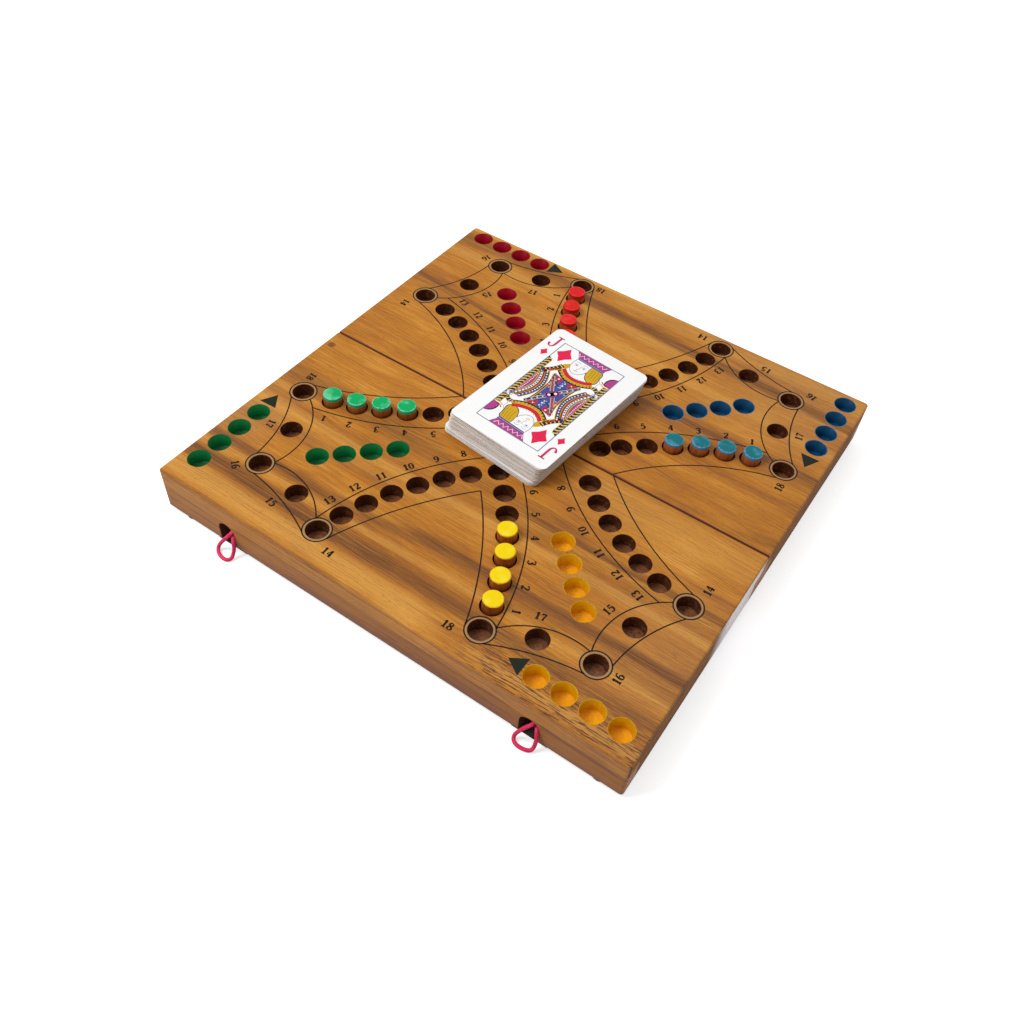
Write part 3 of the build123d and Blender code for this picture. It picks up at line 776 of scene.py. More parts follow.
for side, centre_x in zip(("left", "right"), notch_x):
    braid = elastic(f"elastic_{side}", loop_lengths[side], loop_pinkness[side])
    route = [(centre_x + x, y, z) for x, y, z in loop_routes[side]]
    knot_braid = elastic(f"knot_elastic_{side}", knot_length)
    knot = cord_curve(f"loop_knot_{side}", knot_places(centre_x), knot_cord_diameter, knot_braid)
    loop = cord_curve(f"elastic_loop_{side}", route, cord_diameter, braid)
    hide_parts(f"closing_loop_{side}")
    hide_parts("loop_knots")
    leaves = (route[0][0] * MM, (route[0][1] - free_y) * MM, route[0][2] * MM)


# Track pattern, with the same driving values as the holes
pattern_y = 3.7
arm_hole_count = 6
front_ring_x = 44.8
back_ring_margin = 9.4
side_ring_margin = 17.2
side_ring_y = 50.5
corner_ring_step = (17.4, 14.4)
front_arm_inner = (9.8, 45.1)
front_ring_step = (3.1, 12.9)
front_arm_bow = -3.55
side_arm_inner = (38.7, 15.1)
side_ring_step = (16.4, 3.4)
side_arm_bow = 3.46
home_ring_step = (18.1, 19.5)
home_step = (9.13, 9.06)

reach_x = half_width - side_ring_margin
reach_y = free_y - pattern_y - back_ring_margin
front_ring = Vector((front_ring_x, reach_y))
side_ring = Vector((reach_x, side_ring_y))
corner_ring = Vector((reach_x, reach_y)) - Vector(corner_ring_step)


def bowed(start, end, bow, count):
    """Evenly spaced places along an arc. A bow over 0 bulges to the left of its direction."""
    start = Vector(start)
    chord = Vector(end) - start
    half = chord.length / 2
    radius = (half * half + bow * bow) / (2 * abs(bow))
    turn = math.copysign(2 * math.asin(half / radius), bow)
    left = Vector((-chord.y, chord.x)).normalized()
    middle = start + chord / 2
    centre = middle - left * math.copysign(radius - abs(bow), bow)
    spoke = start - centre
    places = []
    for index in range(count):
        places.append(centre + Matrix.Rotation(-turn * index / (count - 1), 2) @ spoke)
    return places


front_arm = bowed(front_arm_inner, front_ring - Vector(front_ring_step), front_arm_bow, arm_hole_count)
side_arm = bowed(side_arm_inner, side_ring - Vector(side_ring_step), side_arm_bow, arm_hole_count)
home_outer = corner_ring - Vector(home_ring_step)
home_row = [home_outer - index * Vector(home_step) for index in range(4)]

# The quarters, with the colour that starts in each, and whether its track begins on the front or back arm
quarters = {
    "yellow": (1, -1, True),
    "green": (-1, -1, False),
    "blue": (1, 1, False),
    "red": (-1, 1, True),
}


def on_board(x_side, y_side, place):
    """A quarter-pattern place in one quarter of the board."""
    return Vector((x_side * place[0], pattern_y + y_side * place[1]))


def circle_places(centre, radius, count):
    """Evenly spaced places round a circle."""
    spoke = Vector((radius, 0))
    turns = [Matrix.Rotation(2 * math.pi * index / count, 2) for index in range(count)]
    return [Vector(centre) + turn @ spoke for turn in turns]


class Printing:
    """Flat colour on one piece. Shapes lie at levels a hair apart, so that one covers another."""

    def __init__(self, inks, surface_z, lift):
        self.shape = bmesh.new()
        self.inks = inks
        self.order = {name: index for index, name in enumerate(inks)}
        self.surface_z = surface_z
        self.lift = lift

    def vertex(self, place, level):
        """A point of the print, at a level above the piece."""
        return self.shape.verts.new((place[0], place[1], self.surface_z + self.lift * (level + 1)))

    def patch(self, ink_name, outline, level=0):
        """A filled outline."""
        face = self.shape.faces.new([self.vertex(place, level) for place in outline])
        face.material_index = self.order[ink_name]

    def stroke(self, ink_name, places, widths, level=0):
        """A strip along a line of places, drawn by pulling one short edge along it."""
        places = [Vector(place) for place in places]
        if not hasattr(widths, "__len__"):
            widths = [widths] * len(places)
        closed = (places[0] - places[-1]).length < 1e-6
        last = len(places) - 1
        edge = None
        for index, place in enumerate(places):
            before = places[index - 1] if index else places[-2 if closed else 0]
            after = places[index + 1] if index < last else places[1 if closed else last]
            ahead = (after - before).normalized()
            across = Vector((-ahead.y, ahead.x)) * widths[index] / 2
            if edge is None:
                left = self.vertex(place + across, level)
                right = self.vertex(place - across, level)
                edge = self.shape.edges.new((left, right))
                continue
            grown = bmesh.ops.extrude_edge_only(self.shape, edges=[edge])
            new_edge = made_parts(grown, bmesh.types.BMEdge)[0]
            new_left = min(new_edge.verts, key=lambda vert: (vert.co - left.co).length)
            new_right = new_edge.other_vert(new_left)
            new_left.co.xy = place + across
            new_right.co.xy = place - across
            for face in new_edge.link_faces:
                face.material_index = self.order[ink_name]
            edge, left, right = new_edge, new_left, new_right

    def circle(self, ink_name, centre, radius, width, level=0, steps=56):
        """A ring line, whose width straddles the radius."""
        ring = circle_places(centre, radius, steps)
        self.stroke(ink_name, ring + ring[:1], width, level)

    def dot(self, ink_name, centre, radius, level=0):
        """A filled disc."""
        self.patch(ink_name, circle_places(centre, radius, 16), level)

    def finish(self, name, body, slot, turn=None):
        """Weld the strips, face everything upwards and make the piece."""
        bmesh.ops.remove_doubles(self.shape, verts=self.shape.verts, dist=1e-4)
        bmesh.ops.triangulate(self.shape, faces=[face for face in self.shape.faces if len(face.verts) > 4])
        if turn is not None:
            bmesh.ops.transform(self.shape, matrix=turn, verts=self.shape.verts)
        self.shape.normal_update()
        low = [face for face in self.shape.faces if face.normal.z < 0]
        bmesh.ops.reverse_faces(self.shape, faces=low)
        return finish_piece(self.shape, name, body, list(self.inks.values()))


def drawn_line(stroke):
    """The places of a stroke of a letter or numeral, with their widths. One of two points is straight."""
    return flowing(stroke) if len(stroke) > 2 else [Vector(point) for point in stroke]


def flowing(points, steps=6):
    """A smooth line through a few points, which may hold a width as a third number."""
    points = [Vector(point) for point in points]
    closed = (points[0] - points[-1]).length < 1e-6
    count = len(points)
    line = []
    for index in range(count - 1):
        before = points[index - 1] if index else points[-2 if closed else 0]
        after = points[index + 2] if index + 2 < count else points[1 if closed else -1]
        start, end = points[index], points[index + 1]
        for step in range(steps):
            share = step / steps
            slope = (end - before) * share
            bend = (2 * before - 5 * start + 4 * end - after) * (share * share)
            twist = (3 * start - 3 * end + after - before) * share**3
            line.append(0.5 * (2 * start + slope + bend + twist))
    return line + [points[-1]]


# Numerals, drawn on a height of 1: each stroke runs through x, y and its width there
numeral_strokes = {
    "0": (((0.30, 0.97, 0.09), (0.10, 0.78, 0.17), (0.07, 0.50, 0.19), (0.10, 0.22, 0.17), (0.30, 0.03, 0.09),
           (0.50, 0.22, 0.17), (0.53, 0.50, 0.19), (0.50, 0.78, 0.17), (0.30, 0.97, 0.09)),),
    "1": (((0.30, 0.99, 0.20), (0.30, 0.04, 0.20)),
          ((0.08, 0.78, 0.07), (0.20, 0.86, 0.12), (0.31, 0.97, 0.12)),
          ((0.07, 0.035, 0.08), (0.53, 0.035, 0.08))),
    "2": (((0.07, 0.74, 0.19), (0.13, 0.91, 0.12), (0.30, 0.97, 0.10), (0.49, 0.88, 0.19), (0.50, 0.68, 0.20),
           (0.34, 0.40, 0.15), (0.07, 0.10, 0.10)), ((0.05, 0.09, 0.16), (0.55, 0.09, 0.19)),
          ((0.54, 0.05, 0.09), (0.58, 0.27, 0.07))),
    "3": (((0.07, 0.80, 0.17), (0.15, 0.94, 0.12), (0.31, 0.98, 0.10), (0.49, 0.86, 0.19), (0.46, 0.66, 0.17),
           (0.24, 0.54, 0.10)),
          ((0.24, 0.54, 0.09), (0.47, 0.46, 0.18), (0.53, 0.27, 0.21), (0.42, 0.07, 0.15), (0.22, 0.02, 0.11),
           (0.06, 0.15, 0.17))),
    "4": (((0.41, 0.97, 0.10), (0.04, 0.32, 0.09)), ((0.01, 0.29, 0.10), (0.62, 0.29, 0.10)),
          ((0.43, 0.99, 0.20), (0.43, 0.03, 0.20)), ((0.24, 0.035, 0.08), (0.60, 0.035, 0.08))),
    "5": (((0.12, 0.92, 0.14), (0.53, 0.92, 0.16)), ((0.13, 0.96, 0.08), (0.10, 0.52, 0.08)),
          ((0.10, 0.53, 0.08), (0.30, 0.62, 0.12), (0.51, 0.50, 0.20), (0.53, 0.28, 0.21), (0.41, 0.07, 0.15),
           (0.22, 0.02, 0.11), (0.06, 0.14, 0.17))),
    "6": (((0.51, 0.88, 0.15), (0.35, 0.98, 0.10), (0.15, 0.80, 0.16), (0.07, 0.45, 0.20), (0.12, 0.15, 0.17),
           (0.31, 0.03, 0.10), (0.50, 0.15, 0.18), (0.51, 0.38, 0.18), (0.34, 0.56, 0.10),
           (0.12, 0.44, 0.08)),),
    "7": (((0.06, 0.91, 0.17), (0.57, 0.91, 0.15)), ((0.06, 0.72, 0.07), (0.06, 0.96, 0.10)),
          ((0.54, 0.90, 0.10), (0.35, 0.50, 0.14), (0.27, 0.03, 0.20))),
    "8": (((0.30, 0.98, 0.09), (0.11, 0.86, 0.15), (0.13, 0.66, 0.17), (0.32, 0.52, 0.14), (0.51, 0.36, 0.19),
           (0.51, 0.16, 0.17), (0.30, 0.02, 0.09), (0.07, 0.16, 0.18), (0.11, 0.38, 0.15), (0.30, 0.53, 0.10),
           (0.47, 0.68, 0.15), (0.48, 0.86, 0.14), (0.30, 0.98, 0.09)),),
}
numeral_width = 0.6
numeral_strokes["9"] = [
    [(numeral_width - x, 1 - y, width) for x, y, width in stroke] for stroke in numeral_strokes["6"]
]
numeral_height = 3.8
numeral_weight = 1.36
numeral_advance = 0.70


def number(printing, figure, centre, turn_degrees):
    """A plain number, centred on a place and turned anticlockwise."""
    digits = str(figure)
    turn = Matrix.Rotation(math.radians(turn_degrees), 2)
    whole = numeral_width + numeral_advance * (len(digits) - 1)
    for index, digit in enumerate(digits):
        shift = index * numeral_advance - whole / 2
        for stroke in numeral_strokes[digit]:
            line = drawn_line(stroke)
            upright = [Vector((p.x + shift, p.y - 0.5)) * numeral_height for p in line]
            places = [Vector(centre) + turn @ place for place in upright]
            printing.stroke("line", places, [p.z * numeral_height * numeral_weight for p in line])


# Printed lines
track_lift = 0.03
line_width = 0.66
line_steps = 40
seam_clearance = 0.45
ring_line_radius = 6.8
pale_ring_radius = 6.0
pale_ring_width = 0.7


def on_ring(ring, degrees):
    """A place on the line round a ring hole of the quarter pattern, which is drawn as the front right one."""
    centre = on_board(1, -1, ring)
    return centre + Matrix.Rotation(math.radians(degrees), 2) @ Vector((ring_line_radius, 0))


# Lines of the front right quarter: start, end and bow
quarter_lines = (
    ((11.8, 3.7), (98.9, -52.7), -9.75),
    ((0.0, -19.0), on_ring(front_ring, 44), 9.8),
    ((0.0, -47.0), on_ring(front_ring, 195), 3.7),
    (on_ring(side_ring, 199), on_ring(corner_ring, 137), -7.6),
    (on_ring(side_ring, 289), on_ring(corner_ring, 32), -3.0),
    (on_ring(corner_ring, 142), on_ring(front_ring, 44), -5.7),
    (on_ring(corner_ring, 253), on_ring(front_ring, 314), -2.05),
)
# Outer line of the side arms, which meets the seam: on the front half, and on the back half
front_side_line = ((45.4, -0.5), on_ring(side_ring, 98), -4.5)
back_side_line = ((44.6, 0.5), (109.2, 47.2), 6.9)

# Numbers beside the rings and between them, in each quarter: figure, place and turn
ring_numbers = {
    "yellow": (
        (18, (32.5, -116.4), 0), (14, (113.6, -34.1), 90), (16, (103.6, -96.2), 90),
        (15, (83.2, -69.1), 77), (17, (61.6, -89.5), 12),
    ),
    "green": (
        (18, (-114.5, -35.9), -90), (17, (-107.3, -73.6), -80), (16, (-101.4, -103.6), -40),
        (15, (-72.3, -110.5), -10), (14, (-32.7, -117.1), 0),
    ),
    "red": (
        (18, (-34.2, 120.9), 180), (14, (-115.2, 42.0), 270), (16, (-104.0, 105.0), 250),
        (15, (-83.2, 76.5), 240), (17, (-64.3, 94.9), 192),
    ),
    "blue": (
        (18, (113.4, 42.4), 90), (17, (107.3, 81.0), 100), (16, (100.7, 112.8), 165),
        (15, (72.3, 117.6), 175), (14, (32.2, 120.6), 180),
    ),
}

# Numbers along the arm where a quarter's track begins, and along its other arm, from the inside out
arm_figures = ((6, 5, 4, 3, 2, 1), (8, 9, 10, 11, 12, 13))

# How far the numbers of an arm stand from its holes, at its outer and inner end
front_number_gap = (10.9, 13.9)
side_number_gap = (12.6, 14.5)

# Start triangles: half the width of the base, and for each colour the middle of the base and the tip
triangle_half_base = 4.9
start_triangles = {
    "yellow": ((69.5, -114.5), (61.8, -114.5)),
    "green": ((-118.0, -64.5), (-118.4, -56.4)),
    "blue": ((117.6, 71.0), (117.9, 62.5)),
    "red": ((-69.0, 121.2), (-60.5, 121.3)),
}


def arm_numbers(printing, arm, figures, x_side, y_side, gaps):
    """Numbers along one arm, on the side of the home row, with their feet towards the arm."""
    holes = [on_board(x_side, y_side, place) for place in arm]
    home = on_board(x_side, y_side, home_row[1])
    for index, figure in enumerate(figures):
        after = holes[min(index + 1, len(holes) - 1)]
        ahead = (after - holes[max(index - 1, 0)]).normalized()
        aside = Vector((-ahead.y, ahead.x))
        if aside.dot(home - holes[index]) < 0:
            aside.negate()
        gap = gaps[1] + (gaps[0] - gaps[1]) * index / (len(holes) - 1)
        turn_degrees = math.degrees(math.atan2(-aside.x, aside.y))
        number(printing, figure, holes[index] + aside * gap, turn_degrees)


track_ink = ink("track_ink", (0.012, 0.007, 0.003), worn=0.28)
pale_ring_ink = ink("pale_ring", (0.38, 0.23, 0.115), worn=0.5)
triangle_ink = ink("triangle_ink", (0.008, 0.014, 0.007), worn=0.1)


def print_half(name, y_side, body):
    """Lines, rings, numbers and start marks of one half."""
    inks = {"line": track_ink, "ring": pale_ring_ink, "mark": triangle_ink}
    printing = Printing(inks, top_z, track_lift)
    for x_side in (-1, 1):
        lines = list(quarter_lines) if y_side < 0 else [
            ((a[0], 2 * pattern_y - a[1]), (b[0], 2 * pattern_y - b[1]), -bow) for a, b, bow in quarter_lines
        ]
        lines.append(front_side_line if y_side < 0 else back_side_line)
        for start, end, bow in lines:
            arc = bowed((x_side * start[0], start[1]), (x_side * end[0], end[1]), x_side * bow, line_steps)
            clear = [place for place in arc if place.y * y_side > seam_clearance]
            printing.stroke("line", clear, line_width)
        for ring in (front_ring, side_ring, corner_ring):
            centre = on_board(x_side, y_side, ring)
            printing.circle("line", centre, ring_line_radius, line_width)
            printing.circle("ring", centre, pale_ring_radius, pale_ring_width)
    for colour, (x_side, colour_side, starts_on_front) in quarters.items():
        if colour_side != y_side:
            continue
        front_figures, side_figures = arm_figures if starts_on_front else reversed(arm_figures)
        arm_numbers(printing, front_arm, front_figures, x_side, y_side, front_number_gap)
        arm_numbers(printing, side_arm, side_figures, x_side, y_side, side_number_gap)
        for figure, place, turn in ring_numbers[colour]:
            number(printing, figure, place, turn)
        base, tip = (Vector(place) for place in start_triangles[colour])
        across = Vector((-(tip - base).y, (tip - base).x)).normalized() * triangle_half_base
        printing.patch("mark", (base + across, base - across, tip))
    return printing.finish(name, body, "board_wood")


print_half("front_track_print", -1, "front_half")
print_half("back_track_print", 1, "back_half")


# Painted holes: the start row and the home row of each colour
side_start_margin = 10.0
side_start_corner = 8.9
side_start_step = 13.2
front_start_margin = 12.0
back_start_margin = 7.4
front_start_corner = 11.1
front_start_step = 13.5
paint_thickness = 0.05
paint_foot = 0.45
rim_lift = 0.02
rim_wander = 0.16
least_rim_width = 0.05
hole_paints = {
    "yellow": ((0.64, 0.275, 0.0), (0.74, 0.42, 0.001)),
    "green": ((0.001, 0.135, 0.032), (0.006, 0.19, 0.055)),
    "blue": ((0.001, 0.048, 0.120), (0.004, 0.070, 0.165)),
    "red": ((0.30, 0.0, 0.010), (0.38, 0.002, 0.02)),
}
floor_paints = {
    "yellow": ((0.80, 0.33, 0.0), (0.86, 0.62, 0.004)),
    "green": ((0.001, 0.105, 0.024), (0.004, 0.15, 0.045)),
    "blue": ((0.002, 0.045, 0.125), (0.005, 0.07, 0.17)),
    "red": ((0.28, 0.001, 0.013), (0.36, 0.004, 0.025)),
}
rim_paints = {
    "yellow": ((0.66, 0.36, 0.01), (0.50, 0.30, 0.03)),
    "green": ((0.02, 0.11, 0.03), (0.16, 0.16, 0.05)),
    "blue": ((0.10, 0.17, 0.26), (0.35, 0.33, 0.30)),
    "red": ((0.20, 0.02, 0.02), (0.35, 0.14, 0.06)),
}
rim_widths = {"yellow": 0.30, "green": 0.18, "blue": 0.38, "red": 0.22}


def start_places(colour):
    """The four parking holes of one colour, along the edge of its own quarter."""
    side_x = half_width - side_start_margin
    side_y = [free_y - pattern_y - side_start_corner - index * side_start_step for index in range(4)]
    front_x = [half_width - front_start_corner - index * front_start_step for index in range(4)]
    if colour == "green":
        return [on_board(-1, -1, (side_x, y)) for y in side_y]
    if colour == "blue":
        return [on_board(1, 1, (side_x, y)) for y in side_y]
    if colour == "yellow":
        return [Vector((x, front_start_margin - free_y)) for x in front_x]
    return [Vector((-x, free_y - back_start_margin)) for x in front_x]


def spoke_to(vert, place):
    """The direction from the middle of a hole to a vertex."""
    return Vector((vert.co.x - place.x, vert.co.y - place.y)).normalized()


def paint_cup(shape, place, rim_width, seed):
    """A coat of paint down one hole: an uneven rim, the wall and the floor."""
    ring = bmesh.ops.create_circle(shape, segments=48, radius=hole_radius - paint_thickness)["verts"]
    bmesh.ops.translate(shape, vec=(place.x, place.y, top_z + rim_lift), verts=ring)
    edges = list({edge for vert in ring for edge in vert.link_edges})
    rim = bmesh.ops.extrude_edge_only(shape, edges=edges)
    for vert in made_parts(rim, bmesh.types.BMVert):
        spoke = spoke_to(vert, place)
        wander = noise.noise(Vector((spoke.x * 1.7, spoke.y * 1.7, seed))) * rim_wander
        vert.co.xy = place + spoke * (hole_radius + max(rim_width + wander, least_rim_width))
    for face in made_parts(rim, bmesh.types.BMFace):
        face.material_index = 1
    before = set(shape.faces)
    wall = bmesh.ops.extrude_edge_only(shape, edges=edges)
    for vert in made_parts(wall, bmesh.types.BMVert):
        vert.co.z = hole_floor_z + paint_foot
    foot = bmesh.ops.extrude_edge_only(shape, edges=made_parts(wall, bmesh.types.BMEdge))
    for vert in made_parts(foot, bmesh.types.BMVert):
        vert.co.xy = place + spoke_to(vert, place) * (hole_radius - paint_foot)
        vert.co.z = hole_floor_z + paint_thickness
    bmesh.ops.contextual_create(shape, geom=made_parts(foot, bmesh.types.BMEdge))
    for face in set(shape.faces) - before:
        low = face.calc_center_median().z < hole_floor_z + paint_foot
        face.material_index = 2 if low else 0


def paint_holes(colour):
    """All eight painted holes of one colour."""
    x_side, y_side, _ = quarters[colour]
    coat = paint(f"{colour}_hole_paint", *hole_paints[colour], roughness=0.35)
    rim = paint(f"{colour}_hole_rim", *rim_paints[colour], roughness=0.45, worn=0.7)
    pool = paint(f"{colour}_hole_floor", *floor_paints[colour], roughness=0.35)
    shape = bmesh.new()
    holes = start_places(colour) + [on_board(x_side, y_side, place) for place in home_row]
    for index, place in enumerate(holes):
        paint_cup(shape, place, rim_widths[colour], index * 3.1)
    bmesh.ops.recalc_face_normals(shape, faces=shape.faces)
    if sum(face.normal.z * face.calc_area() for face in shape.faces) < 0:
        bmesh.ops.reverse_faces(shape, faces=shape.faces)
    body = "front_half" if y_side < 0 else "back_half"
    return finish_piece(shape, f"{colour}_hole_paint", body, [coat, rim, pool], smooth=True)


for colour in quarters:
    paint_holes(colour)


# Pegs: dowels with a dipped cap of paint
cap_depths = {"green": 2.1, "yellow": 0.85, "blue": 1.7, "red": 2.3}
cap_paints = {
    "green": ((0.002, 0.40, 0.115), (0.17, 0.68, 0.38)),
    "yellow": ((0.95, 0.68, 0.002), (0.97, 0.78, 0.04)),
    "blue": ((0.006, 0.165, 0.195), (0.08, 0.33, 0.42)),
    "red": ((0.74, 0.010, 0.010), (0.86, 0.045, 0.035)),
}
rim_glints = {
    "green": (0.22, 0.72, 0.45),
    "yellow": (0.90, 0.62, 0.01),
    "blue": (0.20, 0.32, 0.50),
    "red": (0.80, 0.06, 0.05),
}
band_paints = {
    "green": (0.03, 0.46, 0.20),
    "yellow": (0.74, 0.47, 0.01),
    "blue": (0.09, 0.24, 0.42),
    "red": (0.56, 0.015, 0.012),
}
peg_top_radius = 0.7
peg_foot_chamfer = 0.5
cap_paint_thickness = 0.04
shoulder_steps = 6


def peg_line(node):
    """The centre of a peg's foot, its direction and its length and radius, read from its frame piece."""
    mesh = nodes[node].data
    flat_top = max((face for face in mesh.polygons if face.normal.z > 0.9), key=lambda face: face.area)
    axis = flat_top.normal.copy()
    reach = [vert.co.dot(axis) for vert in mesh.vertices]
    low, high = min(reach), max(reach)
    side = axis.orthogonal().normalized()
    other = axis.cross(side)
    along_side = [vert.co.dot(side) for vert in mesh.vertices]
    along_other = [vert.co.dot(other) for vert in mesh.vertices]
    middle = side * (min(along_side) + max(along_side)) / 2
    middle = middle + other * (min(along_other) + max(along_other)) / 2
    radius = (max(along_side) - min(along_side)) / 2
    return (middle + axis * low) / MM, axis, (high - low) / MM, radius / MM


def peg_outline(length, radius, cap):
    """Half the outline of a peg: foot, side, paint edge, rounded shoulder and slightly domed top."""
    dowel = radius - cap_paint_thickness
    outline = [
        (0, 0), (dowel - peg_foot_chamfer, 0), (dowel, peg_foot_chamfer), (dowel, 2.5), (dowel, 5.5),
        (dowel, cap - 0.12), (radius - 0.01, cap), (radius, cap + 0.12),
    ]
    for step in range(shoulder_steps):
        angle = math.radians(90 * step / (shoulder_steps - 1))
        out = radius - peg_top_radius + peg_top_radius * math.cos(angle)
        up = length - peg_top_radius + (peg_top_radius - 0.03) * math.sin(angle)
        outline.append((out, up))
    return outline + [(radius * 0.5, length - 0.01), (0, length)]


def dipped_peg(node, colour, seed, materials):
    """A dowel turned from its outline, with a cap of paint whose edge is uneven."""
    foot, axis, length, radius = peg_line(node)
    cap = length - cap_depths[colour]
    shape = bmesh.new()
    points = [shape.verts.new((out, 0, up)) for out, up in peg_outline(length, radius, cap)]
    edges = [shape.edges.new(pair) for pair in zip(points, points[1:])]
    bmesh.ops.spin(
        shape, geom=points + edges, cent=(0, 0, 0), axis=(0, 0, 1), angle=2 * math.pi, steps=48,
        use_merge=True,
    )
    bmesh.ops.remove_doubles(shape, verts=shape.verts, dist=1e-4)
    bmesh.ops.recalc_face_normals(shape, faces=shape.faces)
    for face in shape.faces:
        level = face.calc_center_median().z
        face.material_index = 0 if level < cap - 0.06 else (1 if level < cap + 0.3 else 2)
    for vert in shape.verts:
        if cap - 0.2 < vert.co.z < cap + 0.2:
            around = Vector((vert.co.x * 0.28, vert.co.y * 0.28, seed))
            vert.co.z += noise.noise(around) * 0.5 + noise.noise(around * 3.1) * 0.35
    turn = Vector((0, 0, 1)).rotation_difference(axis).to_matrix().to_4x4()
    bmesh.ops.transform(shape, matrix=Matrix.Translation(foot) @ turn, verts=shape.verts)
    return finish_piece(
        shape, f"{node}_dipped", node, materials, smooth=True, replaces=(node,)
    )


for colour in cap_paints:
    cap_material = dipped_paint(f"{colour}_cap", *cap_paints[colour], rim_glints[colour], band_paints[colour])
    # The band's paler patches take the glint colour of the rim: painted glints
    band_material = paint(f"{colour}_band", band_paints[colour], rim_glints[colour], roughness=0.32)
    for count in range(1, 5):
        seed = count * 5.3 + len(colour)
        dowel = dowel_wood(f"{colour}_dowel_{count}", seed)
        dipped_peg(f"{colour}_peg_{count}", colour, seed, [dowel, band_material, cap_material])


# Felt pads under the halves
pad_radius = 4.0
pad_margins = {"front": 12.5, "back": 29.5}
free_rail_width = 10.0
seam_rail_width = 9.0
seam_y = 0.2
pad_soft_edge = 0.45


def felt_pads(half, y_side):
    """Four thick discs with rounded, slightly fluffy edges."""
    shape = bmesh.new()
    pad_x = half_width - pad_margins[half]
    for y in (free_y - free_rail_width / 2, seam_y + seam_rail_width / 2):
        for x in (-pad_x, pad_x):
            pad = bmesh.ops.create_cone(
                shape, cap_ends=True, segments=40, radius1=pad_radius, radius2=pad_radius, depth=foot_height
            )["verts"]
            bmesh.ops.translate(shape, vec=(x, y_side * y, foot_height / 2), verts=pad)
    rims = [edge for edge in shape.edges if edge.calc_face_angle(0) > 1]
    bmesh.ops.bevel(
        shape, geom=rims, offset=pad_soft_edge, segments=3, profile=0.5, affect="EDGES", material=-1,
        clamp_overlap=True,
    )
    for vert in shape.verts:
        if 0.01 < vert.co.z < foot_height - 0.01:
            centre = Vector((math.copysign(pad_x, vert.co.x), vert.co.y, vert.co.z))
            vert.co -= (vert.co - centre).normalized() * (0.04 + 0.04 * noise.noise(vert.co * 1.9))
    feet = (f"{half}_feet",)
    return finish_piece(
        shape, f"{half}_felt_pads", f"{half}_half", [dark_felt], smooth=True, replaces=feet
    )


felt_pads("front", -1)
felt_pads("back", 1)


# Playing cards
nodes["card_stack"].material_slots[0].material = card_edges()
white_card = card_face()
card_low, card_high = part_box("top_card")
card_width = 57.5
card_length = 88.0
card_corner = 3.5
print_room = 0.1
card_lift = 0.008
card_face_z = card_high.z / MM - print_room
card_under_z = card_low.z / MM + 0.01

# Where the pack lies: its middle and its turn
deck_turn = Matrix.Rotation(math.radians(-5.05), 4, "Z")
deck_middle = ((card_low.x + card_high.x) / 2 / MM, (card_low.y + card_high.y) / 2 / MM, 0)
lay_on_pack = Matrix.Translation(deck_middle) @ deck_turn

card_inks = {
    "suit": ink("suit_ink", (0.80, 0.020, 0.085), 0.10),
    "index": ink("index_ink", (0.62, 0.030, 0.14), 0.10),
    "frame": ink("frame_ink", (0.17, 0.22, 0.27), 0.20),
    "plum": ink("plum_ink", (0.46, 0.055, 0.27), 0.15),
    "blue": ink("blue_ink", (0.060, 0.085, 0.34), 0.15),
    "gold": ink("gold_ink", (0.66, 0.39, 0.015), 0.15),
    "straw": ink("straw_ink", (0.78, 0.55, 0.18), 0.15),
    "black": ink("black_ink", (0.015, 0.013, 0.016), 0.10),
    "scarlet": ink("scarlet_ink", (0.62, 0.025, 0.022), 0.10),
    "white": ink("white_ink", (0.88, 0.87, 0.87), 0.05),
    "grey": ink("grey_ink", (0.22, 0.24, 0.33), 0.10),
}

# Court figure, upper half, in millimetres from the card's middle; the lower half is the same, turned round
court_frame = (18.9, 35.6)
eye_places = (-4.3, 0.3)
rope_x = -17.5
sleeve_reach = 12.6
sleeve_bow = 4.4

# Bands of the sleeve from the outside in: place on the middle line, width and colour
sleeve_bands = (
    (-12.6, 0.65, "gold"), (-12.1, 0.40, "black"), (-11.2, 1.50, "white"), (-10.35, 0.35, "black"),
    (-9.9, 0.65, "scarlet"), (-9.35, 0.60, "gold"), (-8.95, 0.35, "black"), (-8.1, 1.50, "blue"),
    (-7.25, 0.40, "black"), (-6.85, 0.50, "gold"),
)

# Shoulder bands: both ends, bow, places along it and half width
shoulder_bands = (
    ((-9.0, 20.8), (-15.6, 11.4), 1.0, 12, 1.25),
    ((12.0, 17.4), (16.2, 15.6), 0.6, 6, 1.0),
)


def both_ways(points):
    """The points as drawn, and turned half round."""
    return points, [(-x, -y) for x, y in points]


class CourtPrinting(Printing):
    """Print of a two-headed figure. Each mark is made as drawn, and again turned half round."""

    def field(self, ink_name, level, points, curved=False):
        """A filled outline."""
        for outline in both_ways(points):
            drawn = flowing(outline + [outline[0]], 4)[:-1] if curved else outline
            self.patch(ink_name, drawn, level)

    def line(self, ink_name, level, width, points, curved=True):
        """A line of one width."""
        for places in both_ways(points):
            drawn = flowing(places, 5) if curved and len(places) > 2 else places
            self.stroke(ink_name, drawn, width, level)

    def dots(self, ink_name, level, radius, *centres):
        """Filled discs."""
        for centre in centres:
            for spot in both_ways([centre]):
                self.dot(ink_name, spot[0], radius, level)


def draw_frame(art):
    """The thin line round the picture."""
    wide, tall = court_frame
    corners = [(-wide, -tall), (wide, -tall), (wide, tall), (-wide, tall), (-wide, -tall)]
    for start, end in zip(corners, corners[1:]):
        art.stroke("frame", (start, end), 0.42, 9)


